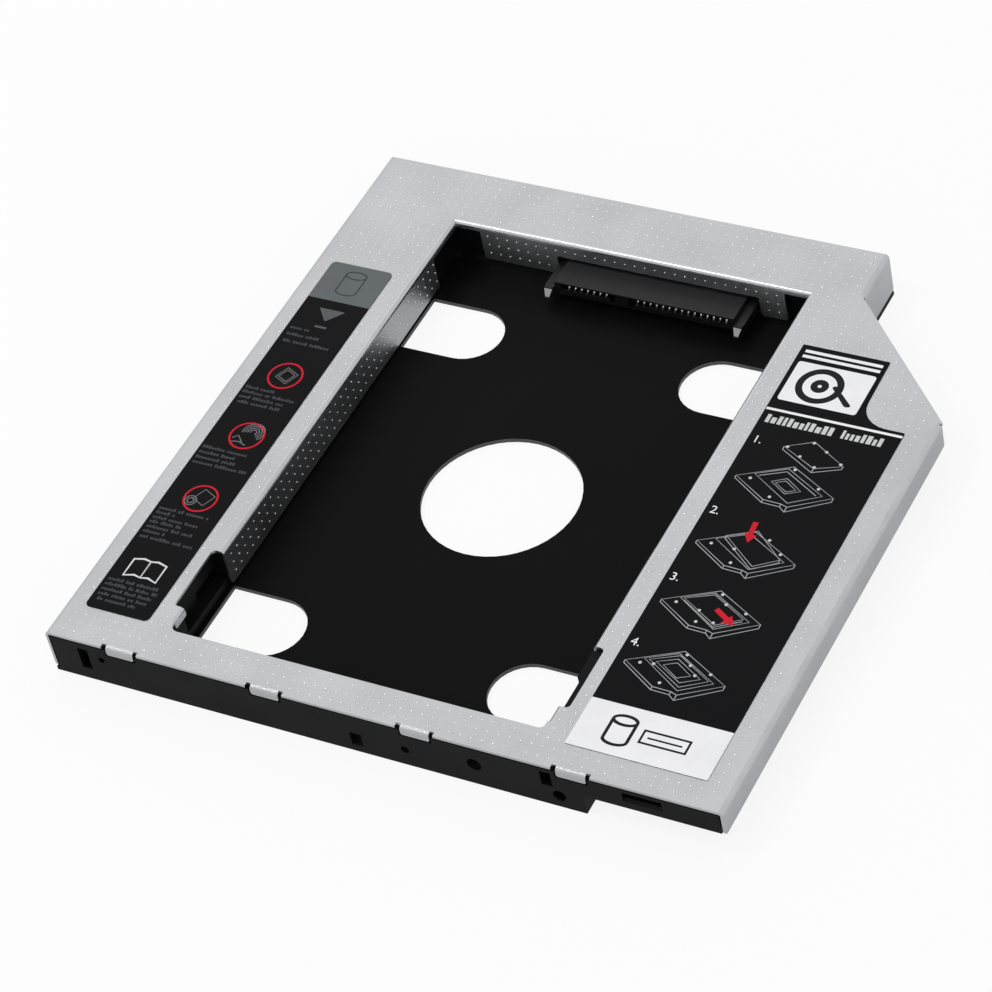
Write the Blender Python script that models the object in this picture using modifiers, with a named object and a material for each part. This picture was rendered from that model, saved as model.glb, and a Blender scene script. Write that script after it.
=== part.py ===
"""Laptop drive caddy: a slim tray that holds a 2.5 inch drive in a laptop's optical bay.

Sizes are in metres. Plan positions are measured from the caddy's front left bottom corner, with X along
the front, Y towards the back and Z up. An empty shifts them, so that the origin of the finished caddy is
the middle of its footprint.
"""

from math import cos, pi, sin, tan

import bmesh
import bpy
from mathutils import Matrix, Vector

MM = 0.001

# Drive that the caddy holds, with the distance of its fixing holes from each end
DRIVE_LENGTH = 100.45 * MM
DRIVE_WIDTH = 69.85 * MM
DRIVE_HOLE_FROM_FRONT = 9.85 * MM
DRIVE_HOLE_FROM_BACK = 14.0 * MM

# Gap left between two pieces that touch, clearance where one reaches past another, and how far a
# cutter runs past what it cuts
GAP = 0.3 * MM
CLEARANCE = 0.4 * MM
PAST = 1.0 * MM

# Whole caddy, from the front left corner outwards
HEIGHT = 9.5 * MM
LEFT_RAIL = 21.0 * MM
RIGHT_RAIL = 9.95 * MM
WING_WIDTH = 25.4 * MM
WING_THICKNESS = 5.15 * MM
FRONT_BEAM = 7.2 * MM
SIDE_ROOM = 0.9 * MM
FRONT_ROOM = 2.6 * MM
REAR_SIDE = 11.8 * MM

# Cover sheet and its folds
SHEET = 0.5 * MM
BEND = 0.8 * MM
BEND_STEPS = 4
WALL_CORNER = 1.4 * MM
TAB_CORNER = 0.4 * MM
TAB_WIDTH = 5.4 * MM
TAB_DROP = 1.8 * MM
TAB_FIRST = 14.95 * MM
TAB_PITCH = 28.67 * MM
TAB_COUNT = 4
TAB_RELIEF = 0.85 * MM
REAR_TAB_FIRST = 12.0 * MM
REAR_TAB_PITCH = 22.0 * MM
REAR_TAB_COUNT = 3

# Edge of the well in the cover
WELL_LEFT_CORNER = 1.5 * MM
WELL_RIGHT_CORNER = 1.0 * MM
LIP_DROP = 1.3 * MM
FLANGE_LIFT = 0.6 * MM
FLANGE_END_INSET = 9.5 * MM
BACK_FLANGE_INSET = 4.9 * MM
LUG_INSET = 1.8 * MM
LUG_LENGTH = 3.5 * MM
NOTCH_LENGTH = 13.7 * MM
NOTCH_DEPTH_LEFT = 2.1 * MM
NOTCH_DEPTH_RIGHT = 2.15 * MM
NOTCH_CORNER = 0.8 * MM

# Moulded frame
FRAME_FOOT = 0.8 * MM
CUT_INSET = 0.4 * MM
FRONT_WALL = 2.6 * MM
REAR_WALL = 2.4 * MM
CORNER_WALL = 1.2 * MM
BAY_INSET = 3.3 * MM
RIB = 1.2 * MM
SKIN = 1.5 * MM
POCKET_PITCH = 11.4 * MM
SCREW_BOSS = 3.4 * MM
LATCH_RECESS = 1.7 * MM
LATCH_RECESS_LIFT = 1.7 * MM
LATCH_UNDERCUT_INSET = 6.5 * MM
LATCH_UNDERCUT_DROP = 3.1 * MM
LATCH_UNDERCUT_DEPTH = 1.6 * MM
KEEPER_INSET = 7.3 * MM

# Bezel fixings in the front face, placed from the left side or from the well's right side
BEZEL_DEPTH = 3.0 * MM
HOOK_LEFT = 6.0 * MM
HOOK_WIDTH = 2.0 * MM
HOOK_BOTTOM = 2.6 * MM
HOOK_DROP = 1.3 * MM
PIN_LEFT = 10.6 * MM
PIN_HEIGHT = 5.8 * MM
PIN_RADIUS = 0.65 * MM
MIDDLE_SLOT_INSET = 33.55 * MM
MIDDLE_SLOT_WIDTH = 2.2 * MM
MIDDLE_SLOT_BOTTOM = 1.6 * MM
MIDDLE_SLOT_TOP = 4.5 * MM
SMALL_HOLE_INSET = 23.05 * MM
SMALL_HOLE_HEIGHT = 3.85 * MM
SMALL_HOLE_RADIUS = 0.8 * MM
LARGE_HOLE_INSET = 9.95 * MM
LARGE_HOLE_HEIGHT = 4.9 * MM
LARGE_HOLE_RADIUS = 1.35 * MM
SQUARE_SLOT_OUTSET = 2.45 * MM
SQUARE_SLOT_WIDTH = 2.0 * MM
SQUARE_SLOT_BOTTOM = 4.7 * MM
SQUARE_SLOT_DROP = 0.8 * MM
CORNER_HOLE_OUTSET = 5.35 * MM
CORNER_HOLE_HEIGHT = 2.75 * MM
CORNER_HOLE_RADIUS = 1.2 * MM
WING_SLOT_INSET = 7.4 * MM
WING_SLOT_WIDTH = 7.0 * MM
WING_SLOT_HEIGHT = 1.6 * MM
WING_SLOT_DROP = 0.7 * MM
WING_SLOT_LEAD = 0.5 * MM

# Bottom plate
PLATE = 1.0 * MM
PLATE_MARGIN = 6.5 * MM
PLATE_FRONT = 1.6 * MM
PLATE_BACK_INSET = 0.2 * MM
PLATE_CORNER = 1.5 * MM
SLOT_WIDTH = 13.5 * MM
SLOT_LENGTH = 16.7 * MM
WINDOW_RADIUS = 14.5 * MM
WINDOW_OFFSET = 2.1 * MM

# Screws
SCREW_RADIUS = 1.0 * MM
SCREW_HEAD_RADIUS = 1.9 * MM
SCREW_HEAD_DEPTH = 0.7 * MM
SCREW_LENGTH = 4.0 * MM
SCREW_INSET = 2.8 * MM
SCREW_FRONT_INSET = 6.4 * MM
SCREW_BACK_INSET = 3.5 * MM
PAN_HEAD_HEIGHT = 1.0 * MM
DRIVER_RADIUS = 0.8 * MM
DRIVER_DEPTH = 0.35 * MM
ROUND_STEPS = 16

# Circuit board, with each chip as (middle to the host connector, width, depth)
BOARD = 0.8 * MM
BOARD_SCREW_INSET = 9.5 * MM
BOARD_SCREW_OFFSET = 0.4 * MM
HOST_SCREW_INSET = 6.5 * MM
HOST_SCREW_OFFSET = 1.5 * MM
CHIP_HEIGHT = 0.9 * MM
CHIP_OFFSET = 1.1 * MM
CHIPS = (
    (33.5 * MM, 3.0 * MM, 3.0 * MM),
    (23.5 * MM, 5.0 * MM, 5.0 * MM),
    (16.0 * MM, 2.0 * MM, 1.25 * MM),
    (12.9 * MM, 2.0 * MM, 1.25 * MM),
)

# Drive connector
PITCH = 1.27 * MM
SIGNAL_COUNT = 7
POWER_COUNT = 15
POWER_INSET = 14.27 * MM
KEY_GAP = 6.38 * MM
SOCKET_LEFT_END = 2.7 * MM
SOCKET_RIGHT_END = 1.82 * MM
SOCKET_SINK = 1.15 * MM
SOCKET_STANDOUT = 6.1 * MM
SOCKET_SEAT = 2.0 * MM
SOCKET_END_WALL = 1.2 * MM
ROOF = 0.4 * MM
MOUTH_LIFT = 1.1 * MM
MOUTH_HEIGHT = 1.3 * MM
MOUTH_DEPTH = 5.0 * MM
KEY_WIDTH = 2.7 * MM
KEY_INSET = 1.98 * MM
KEY_LEG = 1.1 * MM
KEY_LEG_SKIN = 0.3 * MM
POST_WIDTH = 1.9 * MM
POST_REACH = 1.9 * MM
POST_HEIGHT = 1.8 * MM
POST_TAPER = 0.45 * MM
POST_SHOULDER = 0.2 * MM
PASSAGE_WIDTH = 0.9 * MM
PASSAGE_HEIGHT = 0.7 * MM

# Contacts
LEAF = 0.2 * MM
LEAF_WIDTH = 0.5 * MM
LEAF_LIFT = 0.45 * MM
LEAF_CREST = 0.55 * MM
LEAF_NOSE = 0.35 * MM
TAIL_LENGTH = 0.9 * MM
TAIL_LANE = 0.95 * MM

# Host connector at the rear edge
HOST_WIDTH = 25.0 * MM
HOST_INSET = 2.8 * MM
HOST_BODY_LENGTH = 4.0 * MM
HOST_HEIGHT = 3.2 * MM
HOST_REAR_INSET = 0.4 * MM
CHEEK = 1.2 * MM
TONGUE_LENGTH = 3.8 * MM
TONGUE_SIDE_GAP = 1.0 * MM
TONGUE_LIFT = 1.2 * MM
TONGUE = 1.2 * MM
HOST_SIGNAL_INSET = 3.1 * MM
TONGUE_KEY_INSET = 0.9 * MM
TONGUE_KEY_WIDTH = 2.0 * MM
HOST_POWER_INSET = 1.8 * MM
HOST_POWER_COUNT = 6
HOST_POWER_PITCH = 1.2 * MM
GROOVE_WIDTH = 0.8 * MM
GROOVE_DEPTH = 0.5 * MM
STRIP_WIDTH = 0.4 * MM

# Across the caddy, from the left
WELL_LEFT = LEFT_RAIL
WELL_RIGHT = WELL_LEFT + DRIVE_WIDTH + 2 * SIDE_ROOM
REAR_WIDTH = WELL_RIGHT + RIGHT_RAIL
WIDTH = REAR_WIDTH + WING_WIDTH
WALL_SEAT = SHEET + GAP
FRAME_WELL_LEFT = WELL_LEFT - WALL_SEAT
FRAME_WELL_RIGHT = WELL_RIGHT + WALL_SEAT
PLATE_LEFT = WELL_LEFT - PLATE_MARGIN
PLATE_RIGHT = WELL_RIGHT + PLATE_MARGIN
BOARD_LEFT = FRAME_WELL_LEFT + GAP
BOARD_RIGHT = REAR_WIDTH - BAY_INSET
BAY_LEFT = WELL_LEFT + BACK_FLANGE_INSET - CLEARANCE
BAY_RIGHT = WELL_RIGHT - BACK_FLANGE_INSET + CLEARANCE
SCREW_COLUMNS = (WELL_LEFT - SCREW_INSET - SCREW_RADIUS, WELL_RIGHT + SCREW_INSET + SCREW_RADIUS)
POWER_LAST = WELL_RIGHT - POWER_INSET
POWER_FIRST = POWER_LAST - (POWER_COUNT - 1) * PITCH
SIGNAL_LAST = POWER_FIRST - KEY_GAP
SIGNAL_FIRST = SIGNAL_LAST - (SIGNAL_COUNT - 1) * PITCH
KEY_LEFT = SIGNAL_LAST + KEY_INSET
KEY_RIGHT = KEY_LEFT + KEY_WIDTH
SOCKET_LEFT = SIGNAL_FIRST - SOCKET_LEFT_END
SOCKET_RIGHT = POWER_LAST + SOCKET_RIGHT_END
HOST_RIGHT = BOARD_RIGHT - HOST_INSET
HOST_LEFT = HOST_RIGHT - HOST_WIDTH
HOST_SIGNAL_FIRST = HOST_LEFT + HOST_SIGNAL_INSET
TONGUE_KEY_LEFT = HOST_SIGNAL_FIRST + (SIGNAL_COUNT - 1) * PITCH + TONGUE_KEY_INSET
TONGUE_KEY_RIGHT = TONGUE_KEY_LEFT + TONGUE_KEY_WIDTH
HOST_POWER_FIRST = TONGUE_KEY_RIGHT + HOST_POWER_INSET

# Along the caddy, from the front
WELL_FRONT = FRONT_BEAM
DRIVE_FRONT = WELL_FRONT + FRONT_ROOM
DRIVE_BACK = DRIVE_FRONT + DRIVE_LENGTH
DRIVE_HOLE_FRONT = DRIVE_FRONT + DRIVE_HOLE_FROM_FRONT
DRIVE_HOLE_BACK = DRIVE_BACK - DRIVE_HOLE_FROM_BACK
SOCKET_FRONT = DRIVE_BACK - SOCKET_SINK
WELL_BACK = SOCKET_FRONT + SOCKET_STANDOUT
FRAME_WELL_BACK = WELL_BACK + WALL_SEAT
SOCKET_BACK = WELL_BACK + SOCKET_SEAT
TAIL_DROP = SOCKET_BACK + GAP + LEAF
HOST_BODY_FRONT = TAIL_DROP + TAIL_LENGTH + TAIL_LANE + TAIL_LENGTH / 2 + LEAF + GAP
HOST_BODY_BACK = HOST_BODY_FRONT + HOST_BODY_LENGTH
HOST_REAR = HOST_BODY_BACK + TONGUE_LENGTH
DEPTH = HOST_REAR + HOST_REAR_INSET
CUT_END = DEPTH - REAR_SIDE
CUT_START = CUT_END - WING_WIDTH
CUT_LINE = WIDTH + CUT_START
LUG_START = WELL_FRONT + LUG_INSET
LUG_END = LUG_START + LUG_LENGTH
FLANGE_START = LUG_END + NOTCH_LENGTH
FLANGE_END = WELL_BACK - FLANGE_END_INSET
PLATE_BACK = WELL_BACK - PLATE_BACK_INSET
SCREW_FRONT = PLATE_FRONT + SCREW_FRONT_INSET
SCREW_BACK = PLATE_BACK - SCREW_BACK_INSET
SCREW_ROWS = (SCREW_FRONT, (SCREW_FRONT + SCREW_BACK) / 2, SCREW_BACK)
BOARD_FRONT = WELL_BACK + SHEET + CLEARANCE
BOARD_BACK = DEPTH - REAR_WALL - GAP
BOARD_MIDDLE = (BOARD_FRONT + BOARD_BACK) / 2
BAY_STEP = FRAME_WELL_BACK + CORNER_WALL
BOARD_SCREWS = (
    (BOARD_LEFT + BOARD_SCREW_INSET, BOARD_MIDDLE + BOARD_SCREW_OFFSET),
    (HOST_LEFT - HOST_SCREW_INSET, BOARD_MIDDLE + HOST_SCREW_OFFSET),
)

# Up the caddy, from its underside
FLOOR = PLATE + GAP
BOARD_BOTTOM = FLOOR + GAP
BOARD_TOP = BOARD_BOTTOM + BOARD
ON_BOARD = BOARD_TOP + GAP
KEY_LEG_BOTTOM = ON_BOARD + KEY_LEG_SKIN
MOUTH_BOTTOM = ON_BOARD + MOUTH_LIFT
MOUTH_TOP = MOUTH_BOTTOM + MOUTH_HEIGHT
SOCKET_TOP = MOUTH_TOP + ROOF
POST_TOP = ON_BOARD + POST_HEIGHT
LEAF_HEIGHT = MOUTH_BOTTOM + LEAF_LIFT
TONGUE_BOTTOM = ON_BOARD + TONGUE_LIFT
TONGUE_TOP = TONGUE_BOTTOM + TONGUE
HOST_TOP = ON_BOARD + HOST_HEIGHT
SIDE_WALL_BOTTOM = FRAME_FOOT + GAP
FLANGE_BOTTOM = PLATE + FLANGE_LIFT
WING_UNDERSIDE = HEIGHT - WING_THICKNESS
FRAME_TOP = HEIGHT - WALL_SEAT
TAB_BOTTOM = HEIGHT - TAB_DROP
LIP_BOTTOM = HEIGHT - LIP_DROP
TURN = {"X": (pi / 2, 0.0, pi / 2), "Y": (pi / 2, 0.0, 0.0), "Z": (0.0, 0.0, 0.0)}


def start_empty_scene():
    """Removes what the scene holds and makes the two collections and the datum."""
    for obj in list(bpy.data.objects):
        bpy.data.objects.remove(obj, do_unlink=True)
    scene = bpy.context.scene
    collections = []
    for name in ("laptop_drive_caddy", "cutters"):
        collection = bpy.data.collections.new(name)
        scene.collection.children.link(collection)
        collections.append(collection)
    datum = bpy.data.objects.new("caddy_datum", None)
    datum.location = (-WIDTH / 2, -DEPTH / 2, 0.0)
    collections[0].objects.link(datum)
    return collections[0], collections[1], datum


PARTS, CUTTERS, DATUM = start_empty_scene()


def material(name, color, roughness, metallic=0.0):
    """Plain Principled material."""
    made = bpy.data.materials.new(name)
    made.use_nodes = True
    shader = made.node_tree.nodes["Principled BSDF"]
    shader.inputs["Base Color"].default_value = (*color, 1.0)
    shader.inputs["Roughness"].default_value = roughness
    shader.inputs["Metallic"].default_value = metallic
    made.diffuse_color = (*color, 1.0)
    return made


ALUMINIUM = material("embossed_aluminium", (0.62, 0.62, 0.62), 0.42, 1.0)
BLACK_ABS = material("black_abs", (0.014, 0.014, 0.015), 0.45)
BLACK_STEEL = material("black_painted_steel", (0.010, 0.010, 0.011), 0.38, 0.2)
BLACK_LCP = material("black_connector_plastic", (0.018, 0.018, 0.019), 0.5)
GREEN_FIBREGLASS = material("green_fibreglass", (0.01, 0.12, 0.05), 0.4)
GOLD_PLATE = material("gold_plated_bronze", (0.83, 0.61, 0.26), 0.3, 1.0)
BLACK_ZINC = material("black_zinc_steel", (0.03, 0.03, 0.032), 0.35, 0.9)
EPOXY = material("black_epoxy", (0.02, 0.02, 0.02), 0.6)


def place(name, mesh, look=None, collection=PARTS):
    """Puts a mesh in the scene under the datum."""
    obj = bpy.data.objects.new(name, mesh)
    collection.objects.link(obj)
    obj.parent = DATUM
    if collection is CUTTERS:
        obj.hide_render = True
        obj.display_type = "WIRE"
    if look and look.name not in mesh.materials:
        mesh.materials.append(look)
    return obj


def boxes(name, extents, look=None, collection=CUTTERS):
    """One mesh of boxes, each given as (left, right, front, back, bottom, top)."""
    bm = bmesh.new()
    for left, right, front, back, bottom, top in extents:
        middle = Vector((left + right, front + back, bottom + top)) / 2
        size = Vector((right - left, back - front, top - bottom))
        spot = Matrix.Translation(middle) @ Matrix.Diagonal(size).to_4x4()
        bmesh.ops.create_cube(bm, size=1.0, matrix=spot)
    mesh = bpy.data.meshes.new(name)
    bm.to_mesh(mesh)
    bm.free()
    return place(name, mesh, look, collection)


def evaluated_mesh(obj):
    """The object's mesh with its modifiers, as a mesh of its own."""
    bpy.context.view_layer.update()
    depsgraph = bpy.context.evaluated_depsgraph_get()
    return bpy.data.meshes.new_from_object(obj.evaluated_get(depsgraph))


def weld(mesh):
    """Joins points that lie together, such as those of a curve's caps or on a turned shape's axis."""
    bm = bmesh.new()
    bm.from_mesh(mesh)
    bmesh.ops.remove_doubles(bm, verts=bm.verts, dist=1e-6)
    bmesh.ops.dissolve_degenerate(bm, edges=bm.edges, dist=1e-7)
    bmesh.ops.recalc_face_normals(bm, faces=bm.faces)
    bm.to_mesh(mesh)
    bm.free()


def flat_mesh(name, outlines, thickness=0.0):
    """Fills closed outlines in the XY plane, with inner ones as holes, and thickens them both ways."""
    curve = bpy.data.curves.new(name, "CURVE")
    curve.dimensions = "2D"
    curve.fill_mode = "BOTH"
    curve.extrude = thickness / 2
    for outline in outlines:
        spline = curve.splines.new("POLY")
        spline.points.add(len(outline) - 1)
        for point, (x, y) in zip(spline.points, outline):
            point.co = (x, y, 0.0, 1.0)
        spline.use_cyclic_u = True
    drawn = bpy.data.objects.new(name, curve)
    CUTTERS.objects.link(drawn)
    mesh = evaluated_mesh(drawn)
    bpy.data.objects.remove(drawn)
    bpy.data.curves.remove(curve)
    weld(mesh)
    return mesh


def prism(name, outlines, axis, start, end, look=None, collection=PARTS):
    """Extrudes outlines along an axis: (x, y) along Z, (x, z) along Y or (y, z) along X."""
    obj = place(name, flat_mesh(name, outlines, end - start), look, collection)
    obj.rotation_euler = TURN[axis]
    obj.location["XYZ".index(axis)] = (start + end) / 2
    return obj


def rounded(corners, steps=4):
    """Closed outline through corners given as (x, y, radius)."""
    outline = []
    for index, (x, y, radius) in enumerate(corners):
        corner = Vector((x, y))
        if radius == 0.0:
            outline.append(corner)
            continue
        back = (Vector(corners[index - 1][:2]) - corner).normalized()
        ahead = (Vector(corners[(index + 1) % len(corners)][:2]) - corner).normalized()
        half = back.angle(ahead) / 2
        centre = corner + (back + ahead).normalized() * (radius / sin(half))
        start = corner + back * (radius / tan(half)) - centre
        end = corner + ahead * (radius / tan(half)) - centre
        turn = -start.angle_signed(end)
        for step in range(steps + 1):
            outline.append(centre + Matrix.Rotation(turn * step / steps, 2) @ start)
    return outline


def rectangle(left, right, bottom, top, radius=0.0):
    """Rectangle with one radius at all its corners."""
    corners = ((left, bottom), (right, bottom), (right, top), (left, top))
    return rounded([(x, y, radius) for x, y in corners])


def circle(x, y, radius, steps=ROUND_STEPS):
    """Regular polygon for a round hole."""
    angles = [2 * pi * step / steps for step in range(steps)]
    return [(x + radius * cos(angle), y + radius * sin(angle)) for angle in angles]


def cut(target, *cutters):
    """Takes cutters out of a piece."""
    for cutter in cutters:
        modifier = target.modifiers.new(cutter.name, "BOOLEAN")
        modifier.operation = "DIFFERENCE"
        modifier.object = cutter
        modifier.solver = "EXACT"


def tab_spans(centres):
    """Left and right end of each tab."""
    return [(centre - TAB_WIDTH / 2, centre + TAB_WIDTH / 2) for centre in centres]


FRONT_TABS = tab_spans([TAB_FIRST + index * TAB_PITCH for index in range(TAB_COUNT)])
REAR_TABS = tab_spans([REAR_TAB_FIRST + index * REAR_TAB_PITCH for index in range(REAR_TAB_COUNT)])


def tabbed_edge(spans, edge, fold):
    """Points from left to right along an edge whose tabs start at their own fold line."""
    points = []
    for left, right in spans:
        points.append((left - TAB_RELIEF, edge))
        points.append((left - TAB_RELIEF, fold))
        points.append((left, fold))
        points.append((right, fold))
        points.append((right + TAB_RELIEF, fold))
        points.append((right + TAB_RELIEF, edge))
    return points


def cover_outline():
    """Outer edge of the flat sheet, counterclockwise, with each fold line set back by the bend."""
    wall_end = CUT_START - GAP
    rear_wall_start = CUT_END + 2 * GAP
    outline = [(BEND, 0.0)]
    outline += tabbed_edge(FRONT_TABS, 0.0, BEND)
    outline += [(WIDTH - BEND, 0.0), (WIDTH - BEND, wall_end)]
    outline += [(WIDTH - BEND, CUT_START), (WIDTH, CUT_START), (REAR_WIDTH, CUT_END)]
    outline += [(REAR_WIDTH, CUT_END + GAP), (REAR_WIDTH - BEND, CUT_END + GAP)]
    outline += [(REAR_WIDTH - BEND, rear_wall_start), (REAR_WIDTH - BEND, DEPTH)]
    outline += reversed(tabbed_edge(REAR_TABS, DEPTH, DEPTH - BEND))
    outline += [(BEND, DEPTH)]
    return outline


def well_outline():
    """Edge of the well in the flat sheet, counterclockwise from its front left corner."""
    left = WELL_LEFT - BEND
    right = WELL_RIGHT + BEND
    back = WELL_BACK + BEND
    notch_left = WELL_LEFT - NOTCH_DEPTH_LEFT
    notch_right = WELL_RIGHT + NOTCH_DEPTH_RIGHT
    return rounded([
        (WELL_LEFT, WELL_FRONT, WELL_LEFT_CORNER),
        (WELL_RIGHT, WELL_FRONT, WELL_RIGHT_CORNER),
        (WELL_RIGHT, LUG_START - GAP, 0.0),
        (right, LUG_START - GAP, 0.0),
        (right, LUG_START, 0.0),
        (right, LUG_END, 0.0),
        (notch_right, LUG_END, NOTCH_CORNER),
        (notch_right, FLANGE_START, NOTCH_CORNER),
        (right, FLANGE_START, 0.0),
        (right, FLANGE_END, 0.0),
        (right, back, 0.0),
        (WELL_RIGHT - BACK_FLANGE_INSET, back, 0.0),
        (SOCKET_RIGHT + POST_WIDTH + CLEARANCE, back, 0.0),
        (SOCKET_LEFT - POST_WIDTH - CLEARANCE, back, 0.0),
        (WELL_LEFT + BACK_FLANGE_INSET, back, 0.0),
        (left, back, 0.0),
        (left, FLANGE_END, 0.0),
        (left, FLANGE_START, 0.0),
        (notch_left, FLANGE_START, NOTCH_CORNER),
        (notch_left, LUG_END, NOTCH_CORNER),
        (left, LUG_END, 0.0),
        (left, LUG_START, 0.0),
        (left, LUG_START - GAP, 0.0),
        (WELL_LEFT, LUG_START - GAP, 0.0),
    ])


def cover_folds():
    """Folds of the sheet: (axis across, its place, way out, spans of start, end and bottom)."""
    back = WELL_BACK + BEND
    left = WELL_LEFT - BEND
    right = WELL_RIGHT + BEND
    hole_left = SOCKET_LEFT - POST_WIDTH - CLEARANCE
    hole_right = SOCKET_RIGHT + POST_WIDTH + CLEARANCE
    lug = (LUG_START, LUG_END, TAB_BOTTOM)
    side = (FLANGE_START, FLANGE_END, FLANGE_BOTTOM)
    side_end = (FLANGE_END, back, LIP_BOTTOM)
    back_spans = (
        (left, WELL_LEFT + BACK_FLANGE_INSET, LIP_BOTTOM),
        (WELL_LEFT + BACK_FLANGE_INSET, hole_left, FLANGE_BOTTOM),
        (hole_left, hole_right, SOCKET_TOP + CLEARANCE),
        (hole_right, WELL_RIGHT - BACK_FLANGE_INSET, FLANGE_BOTTOM),
        (WELL_RIGHT - BACK_FLANGE_INSET, right, LIP_BOTTOM),
    )
    return (
        (0, BEND, -1, ((0.0, DEPTH, SIDE_WALL_BOTTOM),)),
        (0, WIDTH - BEND, 1, ((0.0, CUT_START - GAP, WING_UNDERSIDE),)),
        (0, REAR_WIDTH - BEND, 1, ((CUT_END + 2 * GAP, DEPTH, SIDE_WALL_BOTTOM),)),
        (1, BEND, -1, [(start, end, TAB_BOTTOM) for start, end in FRONT_TABS]),
        (1, DEPTH - BEND, 1, [(start, end, TAB_BOTTOM) for start, end in REAR_TABS]),
        (0, left, 1, (lug, side, side_end)),
        (0, right, -1, (lug, side, side_end)),
        (1, back, -1, back_spans),
    )


def mark_folds(bm, out, bottom):
    """Finds the edges that fold, and stores which way they go and how far down."""
    found = []
    for edge in bm.edges:
        if not edge.is_boundary:
            continue
        first, second = (vert.co for vert in edge.verts)
        middle = (first + second) / 2
        for across, place_across, way, spans in cover_folds():
            along = 1 - across
            if max(abs(first[across] - place_across), abs(second[across] - place_across)) > GAP / 10:
                continue
            for start, end, depth in spans:
                if start < middle[along] < end:
                    edge[bottom] = depth
                    found.append(edge)
                    for vert in edge.verts:
                        push = vert[out].copy()
                        push[across] = way
                        vert[out] = push
    return found


def extrude_edges(bm, edges):
    """Extrudes edges in place and gives back the new ones."""
    made = bmesh.ops.extrude_edge_only(bm, edges=edges)["geom"]
    verts = {item for item in made if isinstance(item, bmesh.types.BMVert)}
    return verts, [item for item in made if isinstance(item, bmesh.types.BMEdge) and set(item.verts) <= verts]


def folded_sheet():
    """Flat sheet whose marked edges run down through a quarter bend to their own depth."""
    mesh = flat_mesh("cover", [cover_outline(), well_outline()])
    bm = bmesh.new()
    bm.from_mesh(mesh)
    for face in bm.faces:
        if face.normal.z < 0.0:
            face.normal_flip()
    bmesh.ops.translate(bm, verts=bm.verts, vec=(0.0, 0.0, HEIGHT))
    out = bm.verts.layers.float_vector.new("out")
    bottom = bm.edges.layers.float.new("bottom")
    edges = mark_folds(bm, out, bottom)
    for step in range(BEND_STEPS):
        before = pi / 2 * step / BEND_STEPS
        after = pi / 2 * (step + 1) / BEND_STEPS
        verts, edges = extrude_edges(bm, edges)
        for vert in verts:
            vert.co += vert[out] * BEND * (sin(after) - sin(before))
            vert.co.z -= BEND * (cos(before) - cos(after))
    for depth in sorted({edge[bottom] for edge in edges}, reverse=True):
        edges = [edge for edge in edges if edge[bottom] < depth + GAP / 10]
        verts, edges = extrude_edges(bm, edges)
        for vert in verts:
            vert.co.z = depth
    bmesh.ops.recalc_face_normals(bm, faces=bm.faces)
    if max(bm.faces, key=lambda face: face.calc_area()).normal.z < 0.0:
        bmesh.ops.reverse_faces(bm, faces=bm.faces)
    bm.to_mesh(mesh)
    bm.free()
    return mesh


def round_fold_corners(mesh):
    """Rounds the free lower corners of walls, flanges and tabs."""
    bm = bmesh.new()
    bm.from_mesh(mesh)
    tall, short = [], []
    for edge in bm.edges:
        first, second = (vert.co for vert in edge.verts)
        through = abs(edge.calc_length() - SHEET) < SHEET / 20 and abs(first.z - second.z) < SHEET / 20
        if not through or first.z > HEIGHT - BEND - TAB_CORNER or edge.calc_face_angle_signed() < pi / 4:
            continue
        tall.append(edge) if first.z < WING_UNDERSIDE + GAP else short.append(edge)
    for edges, radius in ((tall, WALL_CORNER), (short, TAB_CORNER)):
        bmesh.ops.bevel(
            bm, geom=edges, offset=radius, segments=4, profile=0.5,
            affect="EDGES", clamp_overlap=True, material=-1,
        )
    bmesh.ops.remove_doubles(bm, verts=bm.verts, dist=1e-7)
    bm.to_mesh(mesh)
    bm.free()


def build_cover():
    """Embossed sheet, folded down at its sides and into the well."""
    sheet = place("cover_sheet", folded_sheet(), None, CUTTERS)
    solid = sheet.modifiers.new("thickness", "SOLIDIFY")
    solid.thickness = SHEET
    solid.offset = -1.0
    solid.use_even_offset = True
    mesh = evaluated_mesh(sheet)
    bpy.data.objects.remove(sheet)
    round_fold_corners(mesh)
    return place("top_cover", mesh, ALUMINIUM)


def pocket_rows(left, right, end):
    """Rib pockets along Y that stay inside the cut corner."""
    rows = []
    front = BEZEL_DEPTH + SKIN
    while front + POCKET_PITCH - RIB < end and right + front + POCKET_PITCH < CUT_LINE - CUT_INSET - RIB:
        rows.append((left, right, front, front + POCKET_PITCH - RIB))
        front += POCKET_PITCH
    return rows


def frame_pockets():
    """Ribbed hollows under the cover, in the left rail and in the wing."""
    rail_right = SCREW_COLUMNS[0] - SCREW_RADIUS - SCREW_BOSS
    wing_left = REAR_WIDTH + SKIN
    wing_right = WIDTH - WALL_SEAT - SKIN
    wing_middle = (wing_left + wing_right) / 2
    rail = pocket_rows(WALL_SEAT + SKIN, rail_right, DEPTH - REAR_WALL)
    wing = pocket_rows(wing_left, wing_middle - RIB / 2, DEPTH)
    wing += pocket_rows(wing_middle + RIB / 2, wing_right, DEPTH)
    pockets = [(*row, SKIN, FRAME_TOP + PAST) for row in rail]
    pockets += [(*row, WING_UNDERSIDE + SKIN, FRAME_TOP + PAST) for row in wing]
    return boxes("rib_pockets", pockets)


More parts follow.
